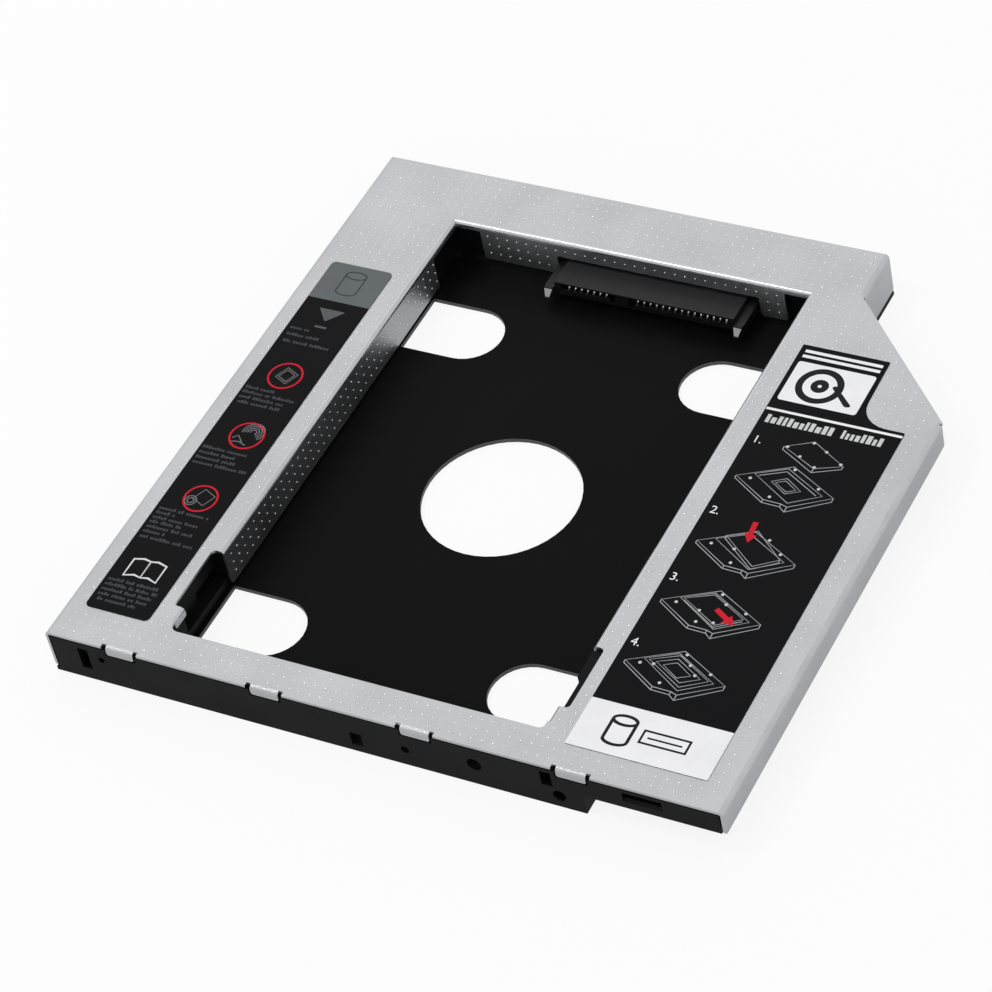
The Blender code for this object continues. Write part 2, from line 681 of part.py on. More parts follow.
def frame_walls():
    """Sets the frame's sides back behind the cover's folded walls, tabs and the wing's raised underside."""
    wing = (REAR_WIDTH, WIDTH + PAST, -PAST, DEPTH + PAST, -PAST, WING_UNDERSIDE)
    left = (-PAST, WALL_SEAT, -PAST, DEPTH + PAST, FRAME_FOOT, HEIGHT)
    rear = (REAR_WIDTH - WALL_SEAT, REAR_WIDTH + PAST, CUT_END - CUT_INSET, DEPTH + PAST, FRAME_FOOT, HEIGHT)
    tabs = []
    for start, end in FRONT_TABS:
        tabs.append((start - GAP, end + GAP, -PAST, WALL_SEAT, TAB_BOTTOM - GAP, HEIGHT))
    for start, end in REAR_TABS:
        tabs.append((start - GAP, end + GAP, DEPTH - WALL_SEAT, DEPTH + PAST, TAB_BOTTOM - GAP, HEIGHT))
    return [
        boxes("below_wing", [wing]),
        boxes("left_wall_seat", [left]),
        boxes("rear_wall_seat", [rear]),
        boxes("tab_seats", tabs),
    ]


def frame_well():
    """Opening for the drive with its latch recess and keeper, and the bay behind it for the board.

    The bay is narrower in front, so that a wall of the frame stands behind each back corner of the well.
    """
    opening = rounded([
        (FRAME_WELL_LEFT, FRONT_WALL, 0.0),
        (FRAME_WELL_RIGHT, FRONT_WALL, 0.0),
        (FRAME_WELL_RIGHT, LUG_END + KEEPER_INSET, 0.0),
        (WELL_RIGHT, LUG_END + KEEPER_INSET, 0.0),
        (WELL_RIGHT, FLANGE_START - GAP, 0.0),
        (FRAME_WELL_RIGHT, FLANGE_START - GAP, 0.0),
        (FRAME_WELL_RIGHT, FRAME_WELL_BACK, 0.0),
        (FRAME_WELL_LEFT, FRAME_WELL_BACK, 0.0),
    ])
    recess_left = FRAME_WELL_LEFT - LATCH_RECESS
    recess_bottom = FLOOR + LATCH_RECESS_LIFT
    recess = (recess_left, FRAME_WELL_LEFT + PAST, LUG_END, FLANGE_START, recess_bottom, HEIGHT)
    undercut = (
        recess_left - LATCH_UNDERCUT_DEPTH, recess_left + PAST,
        LUG_END + LATCH_UNDERCUT_INSET, FLANGE_START - GAP,
        recess_bottom + GAP, FRAME_TOP - LATCH_UNDERCUT_DROP,
    )
    plate_bed = (PLATE_LEFT - GAP, PLATE_RIGHT + GAP, PLATE_FRONT - GAP, PLATE_BACK + GAP, -PAST, FLOOR)
    board_bay = (BOARD_LEFT - GAP, BOARD_RIGHT + GAP, BAY_STEP, BOARD_BACK + GAP, FLOOR, HEIGHT)
    bay_front = (BAY_LEFT, BAY_RIGHT, FRAME_WELL_BACK - PAST, BAY_STEP + PAST, FLOOR, HEIGHT)
    host_mouth = (
        HOST_LEFT - CLEARANCE, HOST_RIGHT + CLEARANCE,
        BOARD_BACK, DEPTH + PAST, BOARD_TOP, HOST_TOP + CLEARANCE,
    )
    return [
        prism("drive_opening", [opening], "Z", -PAST, HEIGHT, None, CUTTERS),
        boxes("latch_recess", [recess]),
        boxes("latch_undercut", [undercut]),
        boxes("plate_bed", [plate_bed]),
        boxes("board_bay", [board_bay]),
        boxes("bay_front", [bay_front]),
        boxes("host_mouth", [host_mouth]),
    ]


def bezel_fixings():
    """Slots and screw holes in the front face, where the laptop's own bezel clips on."""
    hook_top = FRAME_TOP - HOOK_DROP
    square_left = WELL_RIGHT + SQUARE_SLOT_OUTSET
    square_top = FRAME_TOP - SQUARE_SLOT_DROP
    middle_left = WELL_RIGHT - MIDDLE_SLOT_INSET
    wing_left = REAR_WIDTH + WING_SLOT_INSET
    wing_right = wing_left + WING_SLOT_WIDTH
    wing_top = FRAME_TOP - WING_SLOT_DROP
    wing_bottom = wing_top - WING_SLOT_HEIGHT
    outlines = [
        rectangle(HOOK_LEFT, HOOK_LEFT + HOOK_WIDTH, HOOK_BOTTOM, hook_top),
        rectangle(middle_left, middle_left + MIDDLE_SLOT_WIDTH, MIDDLE_SLOT_BOTTOM, MIDDLE_SLOT_TOP),
        rectangle(square_left, square_left + SQUARE_SLOT_WIDTH, SQUARE_SLOT_BOTTOM, square_top),
        rectangle(wing_left, wing_right, wing_bottom, wing_top),
        circle(PIN_LEFT, PIN_HEIGHT, PIN_RADIUS),
        circle(WELL_RIGHT - SMALL_HOLE_INSET, SMALL_HOLE_HEIGHT, SMALL_HOLE_RADIUS),
        circle(WELL_RIGHT - LARGE_HOLE_INSET, LARGE_HOLE_HEIGHT, LARGE_HOLE_RADIUS),
        circle(WELL_RIGHT + CORNER_HOLE_OUTSET, CORNER_HOLE_HEIGHT, CORNER_HOLE_RADIUS),
    ]
    lead = [
        (-WING_SLOT_LEAD, wing_bottom - 2 * WING_SLOT_LEAD),
        (WING_SLOT_LEAD, wing_bottom),
        (WING_SLOT_LEAD, wing_bottom + WING_SLOT_LEAD),
        (-WING_SLOT_LEAD, wing_bottom + WING_SLOT_LEAD),
    ]
    return [
        prism("bezel_holes", outlines, "Y", -PAST, BEZEL_DEPTH, None, CUTTERS),
        prism("wing_slot_lead", [lead], "X", wing_left, wing_right, None, CUTTERS),
    ]


def frame_screw_holes():
    """Blind holes for the plate's screws and through holes for the board's."""
    plate_holes = [circle(x, y, SCREW_RADIUS + GAP) for x in SCREW_COLUMNS for y in SCREW_ROWS]
    board_holes = [circle(x, y, SCREW_RADIUS + GAP) for x, y in BOARD_SCREWS]
    return [
        prism("plate_screw_holes", plate_holes, "Z", 0.0, SCREW_LENGTH + CLEARANCE, None, CUTTERS),
        prism("board_screw_holes", board_holes, "Z", -PAST, FLOOR + GAP, None, CUTTERS),
    ]


def build_frame():
    """Black moulding: front face, rails, wing and rear wall round the well."""
    inside = WIDTH - WALL_SEAT
    cut_line = CUT_LINE - CUT_INSET
    outline = [
        (0.0, 0.0),
        (inside, 0.0),
        (inside, cut_line - inside),
        (REAR_WIDTH, cut_line - REAR_WIDTH),
        (REAR_WIDTH, DEPTH),
        (0.0, DEPTH),
    ]
    frame = prism("frame", [outline], "Z", 0.0, FRAME_TOP, BLACK_ABS)
    cut(frame, *frame_walls(), *frame_well(), frame_pockets(), *bezel_fixings(), *frame_screw_holes())
    return frame


def slot_outline(flat_end, length, middle):
    """Slot across the plate with a square outer end and a round inner one."""
    radius = SLOT_WIDTH / 2
    way = 1 if length > 0 else -1
    centre = flat_end + length - way * radius
    arc = [(pi / 2 - pi * step / ROUND_STEPS) for step in range(ROUND_STEPS + 1)]
    points = [(centre + way * radius * cos(angle), middle + radius * sin(angle)) for angle in arc]
    return [(flat_end, middle + radius), *points, (flat_end, middle - radius)]


def screw_profile(points):
    """Turned screw: its profile, from the outside top to the bottom, spun round Z."""
    mesh = bpy.data.meshes.new("screw_profile")
    bm = bmesh.new()
    verts = [bm.verts.new((radius, 0.0, height)) for radius, height in points]
    for first, second in zip(verts, verts[1:]):
        bm.edges.new((first, second))
    bm.to_mesh(mesh)
    bm.free()
    turned = place("screw_profile", mesh, None, CUTTERS)
    spin = turned.modifiers.new("spin", "SCREW")
    spin.angle = 2 * pi
    spin.screw_offset = 0.0
    spin.steps = ROUND_STEPS
    spin.render_steps = ROUND_STEPS
    spin.use_merge_vertices = True
    spin.merge_threshold = 0.00001
    spin.use_smooth_shade = False
    finished = evaluated_mesh(turned)
    bpy.data.objects.remove(turned)
    weld(finished)
    return finished


def countersinks():
    """Cone for each flush screw head, with the running gap round it."""
    wide = SCREW_HEAD_RADIUS + GAP
    narrow = SCREW_RADIUS + GAP
    slope = (wide - narrow) / SCREW_HEAD_DEPTH
    cutters = []
    mesh = screw_profile([
        (0.0, PLATE + PAST),
        (narrow, PLATE + PAST),
        (narrow, SCREW_HEAD_DEPTH),
        (wide + slope * PAST, -PAST),
        (0.0, -PAST),
    ])
    for x in SCREW_COLUMNS:
        for y in SCREW_ROWS:
            cutter = place("countersink", mesh, None, CUTTERS)
            cutter.location = (x, y, 0.0)
            cutters.append(cutter)
    return cutters


def build_plate():
    """Painted steel floor with a round window and four slots."""
    outer = rectangle(PLATE_LEFT, PLATE_RIGHT, PLATE_FRONT, PLATE_BACK, PLATE_CORNER)
    window_x = (WELL_LEFT + WELL_RIGHT) / 2
    window_y = (DRIVE_HOLE_FRONT + DRIVE_HOLE_BACK) / 2 + WINDOW_OFFSET
    holes = [circle(window_x, window_y, WINDOW_RADIUS, 3 * ROUND_STEPS)]
    for middle in (DRIVE_HOLE_FRONT, DRIVE_HOLE_BACK):
        holes.append(slot_outline(WELL_LEFT, SLOT_LENGTH, middle))
        holes.append(slot_outline(WELL_RIGHT, -SLOT_LENGTH, middle))
    plate = prism("bottom_plate", [outer], "Z", 0.0, PLATE, BLACK_STEEL)
    openings = prism("plate_openings", holes, "Z", -PAST, PLATE + PAST, None, CUTTERS)
    cut(plate, openings, *countersinks())
    return plate


def build_screws():
    """Countersunk screws up through the plate, and pan heads that hold the board."""
    flush = screw_profile([
        (0.0, SCREW_LENGTH),
        (SCREW_RADIUS, SCREW_LENGTH),
        (SCREW_RADIUS, SCREW_HEAD_DEPTH),
        (SCREW_HEAD_RADIUS, 0.0),
        (DRIVER_RADIUS, 0.0),
        (DRIVER_RADIUS, DRIVER_DEPTH),
        (0.0, DRIVER_DEPTH),
    ])
    pan = screw_profile([
        (0.0, ON_BOARD + PAN_HEAD_HEIGHT - DRIVER_DEPTH),
        (DRIVER_RADIUS, ON_BOARD + PAN_HEAD_HEIGHT - DRIVER_DEPTH),
        (DRIVER_RADIUS, ON_BOARD + PAN_HEAD_HEIGHT),
        (SCREW_HEAD_RADIUS - GAP, ON_BOARD + PAN_HEAD_HEIGHT),
        (SCREW_HEAD_RADIUS, ON_BOARD + PAN_HEAD_HEIGHT / 2),
        (SCREW_HEAD_RADIUS, ON_BOARD),
        (SCREW_RADIUS, ON_BOARD),
        (SCREW_RADIUS, GAP),
        (0.0, GAP),
    ])
    spots = [(x, y) for x in SCREW_COLUMNS for y in SCREW_ROWS]
    for index, (x, y) in enumerate(spots):
        place(f"plate_screw_{index + 1}", flush, BLACK_ZINC).location = (x, y, 0.0)
    for index, (x, y) in enumerate(BOARD_SCREWS):
        place(f"board_screw_{index + 1}", pan, BLACK_ZINC).location = (x, y, 0.0)


def build_board():
    """Circuit board behind the well, with its front corners cut off for the frame, and its chips."""
    outline = rectangle(BOARD_LEFT, BOARD_RIGHT, BOARD_FRONT, BOARD_BACK)
    holes = [circle(x, y, SCREW_RADIUS + GAP) for x, y in BOARD_SCREWS]
    board = prism("circuit_board", [outline, *holes], "Z", BOARD_BOTTOM, BOARD_TOP, GREEN_FIBREGLASS)
    front, back = BOARD_FRONT - PAST, BAY_STEP + GAP
    corners = boxes("board_corners", [
        (BOARD_LEFT - PAST, BAY_LEFT + GAP, front, back, 0.0, BOARD_TOP + PAST),
        (BAY_RIGHT - GAP, BOARD_RIGHT + PAST, front, back, 0.0, BOARD_TOP + PAST),
    ])
    cut(board, corners)
    top = ON_BOARD + CHIP_HEIGHT
    for index, (inset, width, depth) in enumerate(CHIPS):
        left = HOST_LEFT - inset - width / 2
        front = BOARD_MIDDLE + CHIP_OFFSET - depth / 2
        extent = (left, left + width, front, front + depth, ON_BOARD, top)
        boxes(f"board_chip_{index + 1}", [extent], EPOXY, PARTS)


def contact_places(first, count, pitch=PITCH):
    """Middle of each contact in a row."""
    return [first + index * pitch for index in range(count)]


DRIVE_CONTACTS = contact_places(SIGNAL_FIRST, SIGNAL_COUNT) + contact_places(POWER_FIRST, POWER_COUNT)
HOST_CONTACTS = contact_places(HOST_SIGNAL_FIRST, SIGNAL_COUNT)
HOST_CONTACTS += contact_places(HOST_POWER_FIRST, HOST_POWER_COUNT, HOST_POWER_PITCH)


def build_socket():
    """Drive connector: roofed body with two L-shaped mouths, a key between them and two guide posts."""
    left = SOCKET_LEFT - POST_WIDTH
    right = SOCKET_RIGHT + POST_WIDTH
    tip = SOCKET_FRONT - POST_REACH
    plan = [
        (left, SOCKET_FRONT + POST_SHOULDER),
        (left + POST_TAPER, tip),
        (SOCKET_LEFT - POST_TAPER, tip),
        (SOCKET_LEFT, SOCKET_FRONT),
        (SOCKET_RIGHT, SOCKET_FRONT),
        (SOCKET_RIGHT + POST_TAPER, tip),
        (right - POST_TAPER, tip),
        (right, SOCKET_FRONT + POST_SHOULDER),
        (right, SOCKET_BACK),
        (left, SOCKET_BACK),
    ]
    socket = prism("drive_socket", [plan], "Z", ON_BOARD, SOCKET_TOP, BLACK_LCP)
    above_posts = boxes("above_posts", [
        (left - PAST, SOCKET_LEFT, tip - PAST, SOCKET_BACK + PAST, POST_TOP, SOCKET_TOP + PAST),
        (SOCKET_RIGHT, right + PAST, tip - PAST, SOCKET_BACK + PAST, POST_TOP, SOCKET_TOP + PAST),
    ])
    signal_mouth = [
        (SOCKET_LEFT + SOCKET_END_WALL, MOUTH_BOTTOM),
        (KEY_LEFT - KEY_LEG, MOUTH_BOTTOM),
        (KEY_LEFT - KEY_LEG, KEY_LEG_BOTTOM),
        (KEY_LEFT, KEY_LEG_BOTTOM),
        (KEY_LEFT, MOUTH_TOP),
        (SOCKET_LEFT + SOCKET_END_WALL, MOUTH_TOP),
    ]
    power_mouth = [
        (KEY_RIGHT, KEY_LEG_BOTTOM),
        (KEY_RIGHT + KEY_LEG, KEY_LEG_BOTTOM),
        (KEY_RIGHT + KEY_LEG, MOUTH_BOTTOM),
        (SOCKET_RIGHT - SOCKET_END_WALL, MOUTH_BOTTOM),
        (SOCKET_RIGHT - SOCKET_END_WALL, MOUTH_TOP),
        (KEY_RIGHT, MOUTH_TOP),
    ]
    mouth_end = SOCKET_FRONT + MOUTH_DEPTH
    mouths = prism(
        "mouths", [signal_mouth, power_mouth], "Y", SOCKET_FRONT - PAST, mouth_end, None, CUTTERS
    )
    low = LEAF_HEIGHT - PASSAGE_HEIGHT / 2
    half = PASSAGE_WIDTH / 2
    passages = [rectangle(x - half, x + half, low, low + PASSAGE_HEIGHT) for x in DRIVE_CONTACTS]
    back = prism("passages", passages, "Y", mouth_end - PAST / 2, SOCKET_BACK + PAST, None, CUTTERS)
    cut(socket, above_posts, mouths, back)
    return socket


def leaf_outline(path):
    """Side view of a strip of one thickness whose middle follows a path."""
    points = [Vector(point) for point in path]
    near, far = [], []
    for index, point in enumerate(points):
        before = (point - points[max(index - 1, 0)]).normalized()
        after = (points[min(index + 1, len(points) - 1)] - point).normalized()
        along = (before + after).normalized()
        side = Vector((-along.y, along.x))
        reach = LEAF / 2 / max(side.dot(Vector((-after.y, after.x)) if after.length else side), 0.5)
        near.append(point + side * reach)
        far.append(point - side * reach)
    return near + far[::-1]


def build_contacts():
    """Sprung drive contacts and flat host contacts, each from its solder tail to its tip."""
    tail = ON_BOARD + LEAF / 2
    leaf = [
        (TAIL_DROP + TAIL_LENGTH, tail),
        (TAIL_DROP, tail),
        (TAIL_DROP, LEAF_HEIGHT),
        (SOCKET_FRONT + MOUTH_DEPTH / 2, LEAF_HEIGHT),
        (SOCKET_FRONT + MOUTH_DEPTH / 4, LEAF_HEIGHT + LEAF_CREST),
        (SOCKET_FRONT + LEAF_NOSE, LEAF_HEIGHT - LEAF / 2),
    ]
    strip_height = TONGUE_TOP - LEAF / 2
    host_drop = HOST_BODY_FRONT - GAP - LEAF
    strip = [
        (host_drop - TAIL_LENGTH / 2, tail),
        (host_drop, tail),
        (host_drop, strip_height),
        (HOST_REAR - GAP, strip_height),
    ]
    for row, path, width, places in (
        ("drive_contact", leaf, LEAF_WIDTH, DRIVE_CONTACTS),
        ("host_contact", strip, STRIP_WIDTH, HOST_CONTACTS),
    ):
        mesh = flat_mesh(row, [leaf_outline(path)], width)
        for index, x in enumerate(places):
            contact = place(f"{row}_{index + 1}", mesh, GOLD_PLATE)
            contact.rotation_euler = TURN["X"]
            contact.location.x = x


def build_host_plug():
    """Rear connector: body on the board, two cheeks and a tongue with a groove for each contact."""
    tongue_left = HOST_LEFT + CHEEK + TONGUE_SIDE_GAP
    tongue_right = HOST_RIGHT - CHEEK - TONGUE_SIDE_GAP
    plan = [
        (HOST_LEFT, HOST_BODY_FRONT),
        (HOST_RIGHT, HOST_BODY_FRONT),
        (HOST_RIGHT, HOST_REAR),
        (HOST_RIGHT - CHEEK, HOST_REAR),
        (HOST_RIGHT - CHEEK, HOST_BODY_BACK),
        (tongue_right, HOST_BODY_BACK),
        (tongue_right, HOST_REAR),
        (TONGUE_KEY_RIGHT, HOST_REAR),
        (TONGUE_KEY_RIGHT, HOST_BODY_BACK),
        (TONGUE_KEY_LEFT, HOST_BODY_BACK),
        (TONGUE_KEY_LEFT, HOST_REAR),
        (tongue_left, HOST_REAR),
        (tongue_left, HOST_BODY_BACK),
        (HOST_LEFT + CHEEK, HOST_BODY_BACK),
        (HOST_LEFT + CHEEK, HOST_REAR),
        (HOST_LEFT, HOST_REAR),
    ]
    plug = prism("host_plug", [plan], "Z", ON_BOARD, HOST_TOP, BLACK_LCP)
    inner_left = tongue_left - TONGUE_SIDE_GAP / 2
    inner_right = tongue_right + TONGUE_SIDE_GAP / 2
    round_tongue = boxes("round_tongue", [
        (inner_left, inner_right, HOST_BODY_BACK, DEPTH + PAST, TONGUE_TOP, HOST_TOP + PAST),
        (inner_left, inner_right, HOST_BODY_BACK, DEPTH + PAST, ON_BOARD - PAST, TONGUE_BOTTOM),
    ])
    low = TONGUE_TOP - GROOVE_DEPTH
    half = GROOVE_WIDTH / 2
    grooves = [rectangle(x - half, x + half, low, TONGUE_TOP + GAP) for x in HOST_CONTACTS]
    channel = prism("grooves", grooves, "Y", HOST_BODY_FRONT - PAST, HOST_REAR + PAST, None, CUTTERS)
    cut(plug, round_tongue, channel)
    return plug


build_cover()
build_frame()
build_plate()
build_screws()
build_board()
build_socket()
build_host_plug()
build_contacts()
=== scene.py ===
"""Looks of the laptop drive caddy: its pieces, finishes, printed labels and the studio it stands in."""

from math import cos, pi, radians, sin, sqrt
from random import Random

import bmesh
import bpy
from bpy.props import FloatProperty, FloatVectorProperty, PointerProperty
from mathutils import Matrix, Vector
from mathutils.bvhtree import BVHTree


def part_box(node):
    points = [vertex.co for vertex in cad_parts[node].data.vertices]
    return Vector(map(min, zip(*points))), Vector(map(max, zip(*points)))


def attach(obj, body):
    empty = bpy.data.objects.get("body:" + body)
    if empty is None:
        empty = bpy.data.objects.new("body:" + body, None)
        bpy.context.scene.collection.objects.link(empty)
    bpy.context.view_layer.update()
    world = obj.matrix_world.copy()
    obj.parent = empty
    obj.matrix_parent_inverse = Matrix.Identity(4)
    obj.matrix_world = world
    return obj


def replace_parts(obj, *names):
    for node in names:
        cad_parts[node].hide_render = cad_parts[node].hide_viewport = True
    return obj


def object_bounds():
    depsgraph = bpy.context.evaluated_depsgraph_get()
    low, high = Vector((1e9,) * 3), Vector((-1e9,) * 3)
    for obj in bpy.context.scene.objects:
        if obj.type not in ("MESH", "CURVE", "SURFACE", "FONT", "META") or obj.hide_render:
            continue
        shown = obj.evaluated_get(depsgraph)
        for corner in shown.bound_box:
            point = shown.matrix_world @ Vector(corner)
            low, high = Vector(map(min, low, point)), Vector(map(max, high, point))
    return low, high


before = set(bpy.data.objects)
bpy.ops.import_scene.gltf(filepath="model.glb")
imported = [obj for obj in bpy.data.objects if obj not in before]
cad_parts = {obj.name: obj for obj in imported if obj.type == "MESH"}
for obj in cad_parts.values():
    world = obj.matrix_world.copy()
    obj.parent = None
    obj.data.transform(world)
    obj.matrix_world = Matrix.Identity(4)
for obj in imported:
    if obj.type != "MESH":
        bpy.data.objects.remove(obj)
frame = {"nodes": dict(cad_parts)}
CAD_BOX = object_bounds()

bl_info = {
    "name": "Laptop drive caddy",
    "version": (1, 0, 0),
    "blender": (4, 5, 0),
    "location": "3D View > Sidebar > Caddy",
    "description": "Dresses the caddy's solids with detailed pieces, finishes and a studio",
    "category": "Object",
}

MM = 0.001
CORNER = Vector(CAD_BOX[0])
WIDTH, DEPTH, HEIGHT = (Vector(CAD_BOX[1]) - CORNER) / MM
# The drive's well, in millimetres from the caddy's front left corner.
WELL_LEFT, WELL_RIGHT, WELL_FRONT, WELL_BACK = 21.0, 92.65, 7.2, 115.2


def linear(code):
    """Linear colour, with full alpha, of an sRGB hex code."""
    channels = [int(code[start:start + 2], 16) / 255 for start in (0, 2, 4)]
    return (*[c / 12.92 if c <= 0.04045 else ((c + 0.055) / 1.055) ** 2.4 for c in channels], 1.0)


def size(name, description, millimetres):
    """Length property whose default is given in millimetres."""
    return FloatProperty(
        name=name, description=description, default=millimetres * MM, min=0.0, unit="LENGTH", precision=5
    )


def colour(name, code):
    """Colour property whose default is given as sRGB hex."""
    return FloatVectorProperty(
        name=name, description=f"Colour of the {name.lower()}", default=linear(code), subtype="COLOR", size=4,
        min=0.0, max=1.0,
    )


class CaddyCoverSettings(bpy.types.PropertyGroup):
    """Embossed cover"""

    edge: size("Edge rounding", "Widest rounding of the sheet's cut edges", 0.08)
    pip_pitch: size("Pip pitch", "Distance from one embossed pip to the next", 2.03)
    pip_radius: size("Pip radius", "Radius of one pip", 0.21)
    pip_height: size("Pip height", "How far a pip stands out of the sheet", 0.11)
    pip_margin: size("Pip margin", "Flat sheet that a pip needs around it", 0.4)
    metal: colour("Aluminium sheet", "b1b2b4")


class CaddyPlasticSettings(bpy.types.PropertyGroup):
    """Frame, connectors and board"""

    edge: size("Edge rounding", "Widest rounding of the frame's moulded edges", 0.12)
    fine_edge: size("Connector edge rounding", "Widest rounding of the connectors' edges", 0.12)
    frame: colour("Frame's black ABS", "0c0c0e")
    connector: colour("Connectors' plastic", "121214")
    contact: colour("Contacts' gold plating", "f6f3ec")
    board: colour("Board's solder mask", "0b3a21")


class CaddyPlateSettings(bpy.types.PropertyGroup):
    """Floor plate and screws"""

    edge: size("Edge rounding", "Widest rounding of the punched edges", 0.1)
    paint: colour("Plate's paint", "0d0d0e")
    sheared: colour("Plate's punched edges", "545456")
    screw: colour("Screws' black zinc", "2a2a2d")
    recess: size("Cross recess", "Width of the cross recess from tip to tip", 2.0)


class CaddyLabelSettings(bpy.types.PropertyGroup):
    """Printed labels"""

    film: size("Film thickness", "Thickness of a label", 0.08)
    ink: size("Ink thickness", "How far the print stands out of the film", 0.015)
    black: colour("Black ground", "0e0e10")
    white: colour("White print", "f2f2f4")
    pale: colour("Left label's pale field", "656b6d")
    grey: colour("Small print", "47484b")
    line: colour("Drawings' lines", "a9aaac")
    red: colour("Red rings and arrows", "cf2334")


class CaddyStudioSettings(bpy.types.PropertyGroup):
    """Floor, light and camera"""

    floor: colour("Paper floor", "f4f4f4")
    lens: FloatProperty(
        name="Focal length", description="Focal length of the camera", default=141.65, min=1.0, unit="CAMERA"
    )
    key: FloatProperty(name="Key light", description="Power of the main lamp, in watts", default=2.0, min=0.0)
    sky: FloatProperty(name="Sky", description="Strength of the light from all round", default=0.75, min=0.0)


SETTINGS = {
    "caddy_cover": CaddyCoverSettings,
    "caddy_plastic": CaddyPlasticSettings,
    "caddy_plate": CaddyPlateSettings,
    "caddy_label": CaddyLabelSettings,
    "caddy_studio": CaddyStudioSettings,
}


def at(x, y, z=0.0):
    """World place of a point given in millimetres from the caddy's front left corner."""
    return CORNER + Vector((x, y, z)) * MM


def add(tree, kind, inputs=None, **settings):
    """Adds one node: inputs are values or sockets for its inputs, settings are its own attributes."""
    node = tree.nodes.new(kind)
    for name, value in settings.items():
        setattr(node, name, value)
    for name, value in (inputs or {}).items():
        if isinstance(value, bpy.types.NodeSocket):
            tree.links.new(value, node.inputs[name])
        else:
            node.inputs[name].default_value = value
    return node


def empty_material(name):
    """Material with no nodes yet."""
    made = bpy.data.materials.new(name)
    made.use_nodes = True
    made.node_tree.nodes.clear()
    return made, made.node_tree


def shade(color, factor):
    """Colour made lighter or darker."""
    return (*[min(channel * factor, 1.0) for channel in color[:3]], 1.0)


def surfaced(name, color, contrast, drift, roughness, swing, grit, relief, sockets, stretch=(1.0, 1.0, 1.0)):
    """Material whose colour and gloss drift over patches, and whose surface has a raised grit.

    contrast and swing are how far the colour and the roughness move; drift and grit are the sizes of a patch
    and of a grain in millimetres, relief is the grain's height, sockets are the shader's other values, and
    stretch draws the grains out.
    """
    made, tree = empty_material(name)
    place = add(tree, "ShaderNodeTexCoord").outputs["Object"]
    patches = add(tree, "ShaderNodeTexNoise", {"Vector": place, "Scale": 1.0 / (drift * MM), "Detail": 2.0})
    level = add(tree, "ShaderNodeMapRange", {
        "Value": patches.outputs["Fac"], "From Min": 0.3, "From Max": 0.7,
    })
    tint = add(tree, "ShaderNodeMix", {
        0: level.outputs["Result"], 6: shade(color, 1.0 - contrast), 7: shade(color, 1.0 + contrast),
    }, data_type="RGBA")
    gloss = add(tree, "ShaderNodeMapRange", {
        "Value": level.outputs["Result"], "To Min": roughness - swing, "To Max": roughness + swing,
    })
    drawn_out = add(tree, "ShaderNodeMapping", {"Vector": place, "Scale": stretch})
    grains = add(tree, "ShaderNodeTexNoise", {
        "Vector": drawn_out.outputs["Vector"], "Scale": 1.0 / (grit * MM), "Detail": 2.0,
    })
    raised = add(tree, "ShaderNodeBump", {"Height": grains.outputs["Fac"], "Distance": relief * MM})
    shader = add(tree, "ShaderNodeBsdfPrincipled", {
        "Base Color": tint.outputs[2], "Roughness": gloss.outputs["Result"],
        "Normal": raised.outputs["Normal"], **sockets,
    })
    add(tree, "ShaderNodeOutputMaterial", {"Surface": shader.outputs["BSDF"]})
    return made


METAL = {"Metallic": 1.0}
# A rough black skin scatters most of what it mirrors, so its specular level lies under the usual 0.5.
DULLED = "Specular IOR Level"


def embossed_aluminium(metal):
    """Rolled aluminium sheet, etched and embossed: satin grey with a fine sparkle and clouds of gloss."""
    return surfaced("embossed_aluminium_sheet", metal, 0.07, 14.0, 0.37, 0.03, 0.24, 0.09, METAL)


def folded_aluminium(metal):
    """The sheet's long folds, where the grain is stretched smooth by the press: glossier than the flats."""
    return surfaced("folded_aluminium", shade(metal, 1.08), 0.05, 5.0, 0.21, 0.04, 0.24, 0.02, METAL)


def rubbed_aluminium(metal):
    """Tops of the embossed pips, rubbed smooth by handling: brighter than the sheet, so they glint."""
    return surfaced("rubbed_aluminium_pips", shade(metal, 1.6), 0.05, 3.0, 0.16, 0.04, 0.2, 0.004, METAL)


def sheared_steel(color):
    """Punched steel edge, bare under thin paint: dark grey metal, drawn into fine streaks by the punch."""
    return surfaced("sheared_steel_edge", color, 0.1, 2.0, 0.4, 0.06, 0.2, 0.01, METAL, (1.0, 1.0, 0.2))


def moulded_abs(color):
    """Injection-moulded black ABS from an eroded mould: dull, with a fine even grit."""
    skin = {"IOR": 1.54, DULLED: 0.07}
    return surfaced("moulded_black_abs", color, 0.12, 9.0, 0.5, 0.05, 0.18, 0.012, skin)


def connector_plastic(color):
    """Glass-filled plastic from a polished mould: finer and a little glossier than the frame."""
    skin = {"IOR": 1.6, DULLED: 0.16}
    return surfaced("moulded_connector_plastic", color, 0.1, 5.0, 0.4, 0.05, 0.12, 0.004, skin)


def painted_steel(paint):
    """Cold-rolled steel under baked black paint: deep black and satin, with a faint orange peel."""
    skin = {"IOR": 1.5, DULLED: 0.03}
    return surfaced("baked_black_paint_on_steel", paint, 0.15, 22.0, 0.42, 0.04, 0.7, 0.012, skin)


def black_zinc(color):
    """Steel screw, rolled and plated with black zinc: dark metal with a soft shine."""
    return surfaced("black_zinc_on_steel", color, 0.12, 1.2, 0.36, 0.06, 0.25, 0.004, METAL)


def gold_plating(color):
    """Copper alloy contact, stamped and gold plated: bright and pale, with drag marks along the leaf."""
    drag = (1.0, 0.1, 1.0)
    return surfaced("gold_on_stamped_copper", color, 0.08, 0.8, 0.26, 0.05, 0.2, 0.002, METAL, drag)


